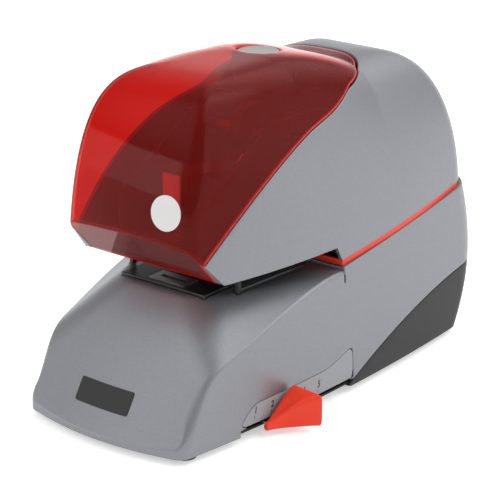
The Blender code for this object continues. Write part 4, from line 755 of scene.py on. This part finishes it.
baseOutline = halfOutline(base)
baseSpots = columnSpots(baseOutline, base["spacing"], base["turnStep"], (common["throatEnd"],))
frontSpots = baseSpots[baseSpots[:, 1] <= common["throatEnd"] + 1e-6]
rearSpots = baseSpots[baseSpots[:, 1] >= common["throatEnd"] - 1e-6]
outlineInward = inwardAlong(baseOutline)


def wallShares(height):
    dense = max(0.5, 1 - base["denseWall"] / height)
    wide, close = base["wallRows"]
    return np.concatenate([np.linspace(0, dense, wide), np.linspace(dense, 1, close)[1:]])


def frontColumn(x, y):
    # from the middle of the table out to the crease, then down the wall to the rim
    height = float(baseTop(x, y)) - common["rim"]
    z = common["rim"] + height * wallShares(height)
    wall = np.stack([np.full(len(z), x), np.full(len(z), y), z], 1)
    share = np.linspace(0, 1, 400) ** 1.6
    pathX, pathY = x * (1 - share), y + (max(y, base["spineFront"]) - y) * share
    path = np.stack([pathX, pathY, baseTop(pathX, pathY)], 1)
    length = arcLength(path)[-1]
    rows = np.concatenate([np.linspace(0, base["denseWall"], 13)[1:], np.linspace(base["denseWall"], length, 50)[1:]])
    return np.vstack([wall, pointsAlong(path, rows)])[::-1]


def rearColumn(x, y, crease):
    shares = wallShares(crease - common["rim"])
    top = seamHeight(y) - common["seamHeight"] / 2 - common["gap"]
    z = np.concatenate([common["rim"] + (crease - common["rim"]) * shares, np.linspace(crease, top, 9)[1:]])
    return np.stack([np.full(len(z), x), np.full(len(z), y), z], 1)[::-1]


def wallDepth(points):
    # distance in from the base's outline, and the outline's inward direction there
    flat = np.stack([np.abs(points[:, 0]), points[:, 1]], 1)
    nearest = np.empty(len(flat), int)
    for start in range(0, len(flat), 4000):
        part = flat[start:start + 4000]
        nearest[start:start + 4000] = ((part[:, None] - baseOutline[None]) ** 2).sum(2).argmin(1)
    inward = outlineInward[nearest]
    return ((flat - baseOutline[nearest]) * inward).sum(1), inward


def creaseDepth(points, soft=None):
    # depth below the rounded meeting of wall and top
    step = 2e-5
    x, y, z = np.abs(points[:, 0]), points[:, 1], points[:, 2]
    height = baseTop(x, y)
    slopeX, slopeY = (baseTop(x + step, y) - height) / step, (baseTop(x, y + step) - height) / step
    size = np.sqrt(1 + slopeX ** 2 + slopeY ** 2)
    side, inward = wallDepth(points)
    if soft is None:
        facing = (inward[:, 0] * slopeX + inward[:, 1] * slopeY) / size
        # rounder at the nose than along the side slopes
        soft = base["cornerRound"] * np.maximum(1e-4, 1 - facing) ** base["roundPower"]
        soft = soft * (1 - base["sharper"] * lean(y, *base["sharperFrom"]))
    return softLower(side, (height - z) / size, soft), soft


def roundCrease(points):
    points = points.copy()
    for _ in range(base["creaseRounds"]):
        depth, soft = creaseDepth(points)
        slope = np.zeros_like(points)
        for axis in range(3):
            moved = points.copy()
            moved[:, axis] += 2e-5
            slope[:, axis] = (creaseDepth(moved, soft)[0] - depth) / 2e-5
        near = np.abs(depth) > 1e-6
        size = np.maximum((slope ** 2).sum(1), 0.2)
        points[near] -= (depth / size)[near, None] * slope[near]
    return points


frontHalf = [frontColumn(x, y) for x, y in frontSpots]
firstRow = len(frontHalf[0]) - sum(base["wallRows"]) + 1 - base["topRows"]
rounded = roundCrease(np.concatenate([column[firstRow:] for column in frontHalf])).reshape(len(frontHalf), -1, 3)
for column, changed in zip(frontHalf, rounded):
    column[firstRow:] = changed
frontHalf = [basePoints(column) for column in frontHalf]
crease = float(baseTop(*frontSpots[-1]))
rearHalf = [basePoints(rearColumn(x, y, crease)) for x, y in rearSpots]
baseSheet = gridSheet(mirrorColumns(frontHalf[1:]) + frontHalf)
baseSheet = gridSheet(rearHalf + mirrorColumns(rearHalf[:-1]), sheet=baseSheet)
print("base sheet:", len(baseSheet.faces), "faces")

trayLine = np.linspace(tray["startY"] - tray["lead"], tray["levelY"], 60)
trayRise = 1 - ((tray["levelY"] - trayLine) / (tray["levelY"] - tray["startY"])) ** 2
trayEdge = np.vstack([np.stack([trayLine, common["rim"] + (tray["levelZ"] - common["rim"]) * trayRise], 1),
                      [(0.3, tray["levelZ"])]])
scaleEdge = np.vstack([[(scale["line"][-1][0], scale["low"]), (scale["line"][0][0], scale["low"])],
                       softened(np.array(scale["line"]), 0.0005, scale["soft"])])


def rightWall(points, field):
    return np.where(points[:, 0] > base["onRight"], field, 1.0)


def insertField(points):
    half = (base["insertRear"] - base["tableFront"]) / 2
    middle = (0, (base["insertRear"] + base["tableFront"]) / 2)
    away = roundedBox(points[:, 0], points[:, 1], middle, (base["insertHalf"], half), base["insertCorner"])
    return np.where(points[:, 2] > base["onTop"], away - common["edge"], 1.0)


def stopSlotField(points):
    field = np.full(len(points), 1.0)
    half = (stops["width"] / 2 + stops["play"], (stops["travel"] + stops["depth"]) / 2 + 2 * stops["play"])
    middleY = stops["y"] + stops["travel"] / 2
    for side in (-1, 1):
        middleX = side * stops["x"] + stops["tilt"] * stops["travel"] / 2
        across = points[:, 0] - middleX - stops["tilt"] * (points[:, 1] - middleY)
        field = np.minimum(field, roundedBox(across, points[:, 1], (0, middleY), half, 0.0015) - common["edge"])
    return np.where(points[:, 2] > base["onTop"], field, 1.0)


def slotField(points):
    front, rear = scale["slotEnds"]
    half = ((rear - front) / 2, scale["slotTop"])
    field = roundedBox(points[:, 1], points[:, 2], ((front + rear) / 2, 0), half, 0.001)
    return rightWall(points, field - common["edge"])


def slitField(points):
    # narrow upright slit at the rear end of each side slope
    field = roundedBox(points[:, 1], points[:, 2], (common["throatEnd"], slit["z"]), slit["half"], slit["half"][0])
    return np.where(np.abs(points[:, 0]) > base["onSides"], field - common["edge"], 1.0)


def openingField(points):
    field = np.full(len(points), 1.0)
    for x, z, halfX, halfZ in (tray["inlet"], tray["switch"]):
        hole = roundedBox(points[:, 0], points[:, 2], (x, z), (halfX, halfZ), tray["holeCorner"]) - common["edge"]
        field = np.minimum(field, np.where(points[:, 1] > base["onRear"], hole, 1.0))
    return field


scaleSheet = trimSheet(baseSheet.copy(), lambda points: np.where(
    points[:, 0] > base["onRight"], insideLine(points[:, 1:], scaleEdge) - scale["gap"] - scale["rim"], -1.0))
traySheet = trimSheet(baseSheet.copy(), lambda points: -sideOfLine(points[:, 1:], trayEdge) - common["edge"])
trimSheet(traySheet, openingField)
lowerSheet = baseSheet
for field in (
    lambda points: sideOfLine(points[:, 1:], trayEdge) - common["gap"] - common["edge"],
    insertField, stopSlotField,
    lambda points: rightWall(points, -insideLine(points[:, 1:], scaleEdge) - common["edge"]),
    slotField, slitField,
):
    trimSheet(lowerSheet, field)
endX = frontSpots[-1][0] * throatBar["share"]
endTop = seamHeight(common["throatEnd"]) - common["seamHeight"] / 2 - common["gap"]
throatStep = softBox((-endX, common["throatEnd"], throatBar["low"]),
                     (endX, common["throatEnd"] + throatBar["thick"], endTop), throatBar["round"])
lowerShell = makePiece("lowerShell", [shellFromSheet(lowerSheet, base["wall"], common["edge"]), throatStep],
                       finishes["silver_paint"], "chassis", ["lower_housing"])


def trayFloor():
    # the floor follows the shell's foot, just inside its wall
    inside = []
    for x, y in columnSpots(baseOutline, 0.004, 0.1, ()):
        near = ((baseOutline - (x, y)) ** 2).sum(1).argmin()
        inside.append(np.array((x, y)) + outlineInward[near] * tray["floorInset"])
    half = basePoints(np.array([(max(x, 0), y, common["rim"]) for x, y in inside]))[:, :2]
    outline = np.vstack([half, (half * (-1, 1))[::-1][1:-1]])
    low, high, edge = tray["floorLow"], tray["floorLow"] + tray["floorThick"], tray["floorEdge"]
    shrink = tray["floorShrink"]
    levels = ((low, shrink), (low + edge, 1.0), (high - edge, 1.0), (high, shrink))
    return loftRings([[(x * size, y * size, z) for x, y in outline] for z, size in levels])


trayShell = makePiece("trayShell", [shellFromSheet(traySheet, base["wall"], common["edge"]), trayFloor()],
                      finishes["dark_plastic"], "chassis", ["base_tray"])
for vert in scaleSheet.verts:
    vert.co -= vert.normal * scale["sink"]
scalePanel = makePiece("scalePanel", [shellFromSheet(scaleSheet, scale["thick"], scale["rim"])],
                       finishes["white_label"], "chassis", ["scale_plate"])
print("base shells:", len(lowerShell.data.polygons), len(trayShell.data.polygons))

# orange strip in the seam, with a bar across the throat's end
strip = {"sink": 0.0005, "depth": 0.0036, "front": 0.0070, "rear": 0.0100}


def seamStrip():
    half = []
    low, high = -common["seamHeight"] / 2 + common["edge"], common["seamHeight"] / 2 - common["edge"]
    inward = inwardAlong(hoodOutline)
    for x, y in hoodSpots[hoodSpots[:, 1] > strip["front"]]:
        near = ((hoodOutline - (x, y)) ** 2).sum(1).argmin()
        sunkX, sunkY = (x, y) + inward[near] * strip["sink"]
        half.append(np.array([(max(sunkX, 0), sunkY, seamHeight(y) + rise) for rise in np.linspace(high, low, 5)]))
    sheet = gridSheet(half + mirrorColumns(half[:-1]))
    middle = seamHeight(strip["front"])
    tall = common["seamHeight"] / 2
    endX = half[0][0][0]
    bar = softBox((-endX, strip["front"], middle - tall), (endX, strip["rear"], middle + tall), common["edge"])
    return makePiece("seamStrip", [shellFromSheet(sheet, strip["depth"], common["edge"]), bar],
                     finishes["orange_plastic"], "chassis", ["seam_trim"])


seamStrip()

# the depth stop's finger grip: a thin tail that swells to a tall hooked end
grip = {"front": -0.0735, "rear": -0.0477, "inner": 0.0705, "tilt": 0.053, "tip": 0.0035, "reach": 0.0188,
        "low": 0.004, "tall": 0.0214, "fall": 0.0016, "round": 0.00165, "scoop": 0.0020, "swell": 1.4,
        "tail": 0.24, "climb": (1.6, 2.2)}


def gripRing(share, shrink):
    y = grip["front"] + (grip["rear"] - grip["front"]) * share
    inside = grip["inner"] + grip["tilt"] * (y - grip["rear"])
    outside = inside + grip["tip"] + grip["reach"] * share ** grip["swell"]
    power, steep = grip["climb"]
    climb = share ** power * (steep - (steep - 1) * share)
    high = grip["low"] + grip["tall"] * (grip["tail"] + (1 - grip["tail"]) * climb)
    outerHigh = high - grip["fall"] * share
    scoop = grip["scoop"] * math.sin(math.pi * min(1.0, share * 1.1)) ** 2
    corners = [(inside, grip["low"]), (outside, grip["low"]), (outside - scoop, (grip["low"] + outerHigh) / 2),
               (outside, outerHigh), ((inside + outside) / 2, (high + outerHigh) / 2 - scoop * 0.6), (inside, high)]
    loop = np.array([(corner[0], 0, corner[1]) for corner in corners + corners[:1]])
    # start in the middle of the inner side, so that every corner is rounded alike
    start = (loop[-1] + loop[-2]) / 2
    loop = np.vstack([start, loop[:-1], start])
    fine = softened(loop, 0.0003, grip["round"])
    spaced = pointsAlong(fine, np.linspace(0, arcLength(fine)[-1], 49)[:-1])
    middle = spaced.mean(0)
    spaced = middle + (spaced - middle) * (1 - shrink)
    spaced[:, 1] = y
    return [tuple(point) for point in spaced]


def depthGrip():
    ends = [(0, 0.25), (0.006, 0.10), (0.018, 0.02)]
    shares = ends + [(share, 0) for share in np.linspace(0.035, 0.975, 34)]
    shares += [(0.988, 0.012), (0.996, 0.035), (1, 0.08)]
    rings = [list(reversed(gripRing(share, shrink))) for share, shrink in shares]
    return makePiece("depthGrip", [loftRings(rings)], finishes["orange_plastic"], "depth_stop",
                     ["depth_knob"], sharp=50)


depthGrip()


def pushButton():
    top = hood["top"] - hood["roofCurve"] * (button["y"] - hood["spine"][0]) ** 2 - button["sink"]
    radius, thick, stem = button["radius"], button["thick"], button["stem"]
    low = -thick - button["stemLength"]
    profile = [(stem - 0.0008, low), (stem, low + 0.0008), (stem, -thick), (radius - 0.0006, -thick),
               (radius, -thick + 0.0006), (radius, -0.0014), (radius - 0.0003, -0.0006), (radius - 0.0009, -0.0001),
               (radius - 0.0018, 0.0)]
    profile += [(radius * share, -0.0006 * (1 - share ** 2)) for share in (0.8, 0.7, 0.55, 0.4, 0.25, 0.1, 0.02)]
    return makePiece("pushButton", [lathe(profile, (0, button["y"], top), 72)], finishes["button_grey"], "button",
                     ["cover_button"])


pushButton()

foot = {"radius": 0.0075, "height": 0.0044, "x": 0.0503, "frontY": -0.122, "rearY": 0.1206}


def rubberFeet():
    radius, height = foot["radius"], foot["height"]
    profile = [(radius * 0.45, 0.0006), (radius * 0.6, 0.0), (radius - 0.0014, 0.0), (radius - 0.0005, 0.0004),
               (radius, 0.0013), (radius, height - 0.0004), (radius - 0.0004, height)]
    for name, x, y in (("front_left", -1, "frontY"), ("front_right", 1, "frontY"), ("rear_left", -1, "rearY"),
                       ("rear_right", 1, "rearY")):
        makePiece("rubber_" + name, [lathe(profile, (x * foot["x"], foot[y], 0), 48)], finishes["rubber"], "chassis",
                  ["foot_" + name])


rubberFeet()


def onSurface(target, origin, way):
    # first point of a piece's outside met from a place in the stapler's own frame
    tree = BVHTree.FromPolygons([vert.co - frameShift for vert in target.data.vertices],
                                [polygon.vertices[:] for polygon in target.data.polygons])
    return lambda across, up: tree.ray_cast(Vector(origin(across, up)), Vector(way))[:2]


def stuckOn(hit, outline, rows, lift, thick):
    # a thin plate that follows a surface: rings shrink from the outline to the middle
    middle = np.mean(outline, 0)
    top, bottom = [], []
    for share in np.concatenate([[1.0, 0.985], np.linspace(0.95, 0.03, rows)]):
        ringPoints = []
        for across, up in middle + (np.array(outline) - middle) * share:
            spot, normal = hit(across, up)
            raised = lift + thick * (0.35 if share == 1 else 1)
            ringPoints.append(tuple(spot + normal * raised))
        top.append(ringPoints)
    for across, up in outline:
        spot, normal = hit(across, up)
        bottom.append(tuple(spot + normal * lift))
    return loftRings([bottom] + top)


# plain round label on the cover and plain plate on the nose
label = {"x": 0.0290, "z": 0.1385, "radius": 0.0102, "thick": 0.00018}
plate = {"x": -0.002, "z": 0.0262, "half": (0.0205, 0.0062), "corner": 0.0012, "thick": 0.0003}


def plainLabels():
    white = finish("labelWhite", grainGroup, {"Tone": (0.80, 0.79, 0.78, 1), "Roughness": 0.35, "Grain Scale": 2600.0},
                   (0.08, 0.0001))
    angle = np.linspace(0, 2 * math.pi, 73)[:-1]
    hit = onSurface(coverShell, lambda across, up: (across, -0.2, up), (0, 1, 0))
    disc = np.stack([label["x"] + label["radius"] * np.cos(angle), label["z"] + label["radius"] * np.sin(angle)], 1)
    makePiece("plainLabel", [stuckOn(hit, disc, 8, 0.00002, label["thick"])], white, "cover")
    hit = onSurface(lowerShell, lambda across, up: (across, -0.2, up), (0, 1, 0))
    outline = []
    for turn, (sideX, sideZ) in enumerate(((1, 1), (-1, 1), (-1, -1), (1, -1))):
        middle = (plate["x"] + sideX * (plate["half"][0] - plate["corner"]),
                  plate["z"] + sideZ * (plate["half"][1] - plate["corner"]))
        outline += list(arcPoints(middle, plate["corner"], turn * 90, turn * 90 + 90, 6))
    spaced = np.vstack([outline, outline[:1]])
    spaced = pointsAlong(spaced, np.linspace(0, arcLength(spaced)[-1], 121)[:-1])
    makePiece("plainPlate", [stuckOn(hit, spaced, 8, 0.00002, plate["thick"])], finishes["dark_plastic"], "chassis")


plainLabels()


def scaleMarks():
    # numbers 1 to 5 and a line under each, printed on the scale panel
    ink = finish("scaleInk", grainGroup, {"Tone": (0.016, 0.016, 0.018, 1), "Roughness": 0.42, "Grain Scale": 3000.0},
                 (0.05, 0.0001))
    hit = onSurface(scalePanel, lambda along, up: (0.2, along, up), (-1, 0, 0))
    parts = []
    for mark in range(5):
        y, z = (np.array(scale["firstMark"]) * (4 - mark) + np.array(scale["lastMark"]) * mark) / 4
        letter = bpy.data.curves.new("digit", "FONT")
        letter.body = str(mark + 1)
        letter.size = scale["digit"]
        letter.offset = scale["bold"]
        letter.align_x, letter.align_y = "CENTER", "CENTER"
        letter.resolution_u = 8
        holder = bpy.data.objects.new("digit", letter)
        mesh = bpy.data.meshes.new_from_object(holder)
        shape = bmesh.new()
        shape.from_mesh(mesh)
        bmesh.ops.triangulate(shape, faces=shape.faces)
        bmesh.ops.create_cube(shape, size=1, matrix=Matrix.Translation(scale["tickPlace"])
                              @ Matrix.Diagonal((*scale["tick"], 0.0, 1)))
        bmesh.ops.remove_doubles(shape, verts=shape.verts, dist=1e-6)
        shape.verts.index_update()
        points = []
        for vert in shape.verts:
            spot, normal = hit(y + vert.co.x * scale["narrow"] + vert.co.y * scale["slant"], z + vert.co.y)
            points.append((spot, normal))
        faces = [[vert.index for vert in face.verts] for face in shape.faces if face.calc_area() > 1e-10]
        count = len(points)
        raised = [spot + normal * scale["print"] for spot, normal in points]
        sunk = [spot - normal * scale["print"] for spot, normal in points]
        sides = []
        for edge in shape.edges:
            linked = [face for face in edge.link_faces if face.calc_area() > 1e-10]
            if len(linked) == 1:
                loop = next(loop for loop in linked[0].loops if loop.edge == edge)
                first, second = loop.vert.index, loop.link_loop_next.vert.index
                sides.append([second, first, first + count, second + count])
        parts.append((raised + sunk, faces + [[index + count for index in reversed(face)] for face in faces] + sides))
        bpy.data.objects.remove(holder)
        bpy.data.curves.remove(letter)
        bpy.data.meshes.remove(mesh)
        shape.free()
    makePiece("scaleMarks", parts, ink, "chassis")


scaleMarks()
print("small pieces made")

# light and floor
studio = {
    "floor": 8.0, "floorTone": 0.9, "floorGlow": 0.5, "sky": 0.46,
    # azimuth in degrees from the front towards the right: the two ends, how soft each is, brightness at each end;
    # then the height of the top and its softness, as sines
    "walls": (
        ((-78, -24), (8, 4), (0.2, 3.2), (0.22, 0.03)),
        ((110, 165), (5, 20), (1.5, 0.1), (0.50, 0.06)),
        ((165, 262), (20, 20), (1.0, 1.0), (0.40, 0.40)),
    ),
    # soft lights: middle, cosine of the edge, brightness
    "lights": (((0.05, 0.62, 0.78), 0.80, 1.15), ((0.55, 0.36, 0.75), 0.88, 2.2), ((-0.30, -0.62, 0.72), 0.76, 1.05)),
}


def setFloor():
    half = studio["floor"] / 2
    mesh = bpy.data.meshes.new("floor")
    mesh.from_pydata([(-half, -half, 0), (half, -half, 0), (half, half, 0), (-half, half, 0)], [], [(0, 1, 2, 3)])
    floor = bpy.data.objects.new("floor", mesh)
    bpy.context.scene.collection.objects.link(floor)
    material, tree, shader = nodeTree("whiteFloor")
    tone = studio["floorTone"]
    shader.inputs["Base Color"].default_value = (tone, tone, tone, 1)
    shader.inputs["Roughness"].default_value = 0.9
    shader.inputs["Specular IOR Level"].default_value = 0.1
    floor.data.materials.append(material)
    glow = addNode(tree, "ShaderNodeEmission", {"Color": (1, 1, 1, 1), "Strength": studio["floorGlow"]})
    both = addNode(tree, "ShaderNodeAddShader")
    tree.links.new(shader.outputs[0], both.inputs[0])
    tree.links.new(glow.outputs[0], both.inputs[1])
    path = addNode(tree, "ShaderNodeLightPath")
    seen = path.outputs["Is Camera Ray"]
    for ray in ("Is Glossy Ray", "Is Transmission Ray"):
        seen = worked(tree, "MAXIMUM", seen, path.outputs[ray])
    mixedSurface(tree, seen, shader.outputs[0], both.outputs[0])


def setStudio():
    # a plain room with lit walls low down, and soft lights above: behind, at the right and in front
    world = bpy.data.worlds.new("studio")
    bpy.context.scene.world = world
    world.use_nodes = True
    tree = world.node_tree

    def ramp(value, start, end, low=0.0, high=1.0, kind="SMOOTHSTEP"):
        values = {"interpolation_type": kind, "From Min": start, "From Max": end, "To Min": low, "To Max": high}
        return addNode(tree, "ShaderNodeMapRange", values, Value=value).outputs[0]

    way = addNode(tree, "ShaderNodeTexCoord").outputs["Generated"]
    parts = addNode(tree, "ShaderNodeSeparateXYZ", {}, Vector=way)
    turned = worked(tree, "ARCTAN2", parts.outputs["X"], worked(tree, "MULTIPLY", parts.outputs["Y"], -1.0))
    # the rear walls go on past half a turn
    behind = worked(tree, "LESS_THAN", turned, math.radians(-100))
    full = worked(tree, "ADD", turned, worked(tree, "MULTIPLY", behind, 2 * math.pi))
    level = studio["sky"]
    for ends, soft, bright, (top, fade) in studio["walls"]:
        low, high = (math.radians(angle) for angle in ends)
        rise = ramp(full, low, low + math.radians(soft[0]))
        fall = ramp(full, high, high - math.radians(soft[1]))
        strength = ramp(full, low, high, bright[0], bright[1], "LINEAR")
        height = ramp(parts.outputs["Z"], top, top - fade)
        ends, lit = worked(tree, "MULTIPLY", rise, fall), worked(tree, "MULTIPLY", strength, height)
        wall = worked(tree, "MULTIPLY", ends, lit)
        level = worked(tree, "ADD", wall, level)
    for middle, edge, bright in studio["lights"]:
        facing = addNode(tree, "ShaderNodeVectorMath", {"operation": "DOT_PRODUCT", 1: Vector(middle).normalized()})
        tree.links.new(way, facing.inputs[0])
        level = worked(tree, "ADD", level, ramp(facing.outputs["Value"], edge, 1.0, 0.0, bright))
    background = tree.nodes["Background"]
    background.inputs["Color"].default_value = (1, 1, 1, 1)
    tree.links.new(level, background.inputs["Strength"])
    bpy.context.scene.view_settings.view_transform = "Standard"


setFloor()
setStudio()
print("stage set")

for title, node in frame["nodes"].items():
    name = node.data.materials[0].name.split(".")[0] if node.data.materials else "steel"
    # parts inside the hood take the near-black steel of painted shade
    if title in shadePaintedInside:
        name = "dark_steel"
    for place in node.material_slots:
        place.link = "OBJECT"
        place.material = finishes.get(name, finishes["steel"])
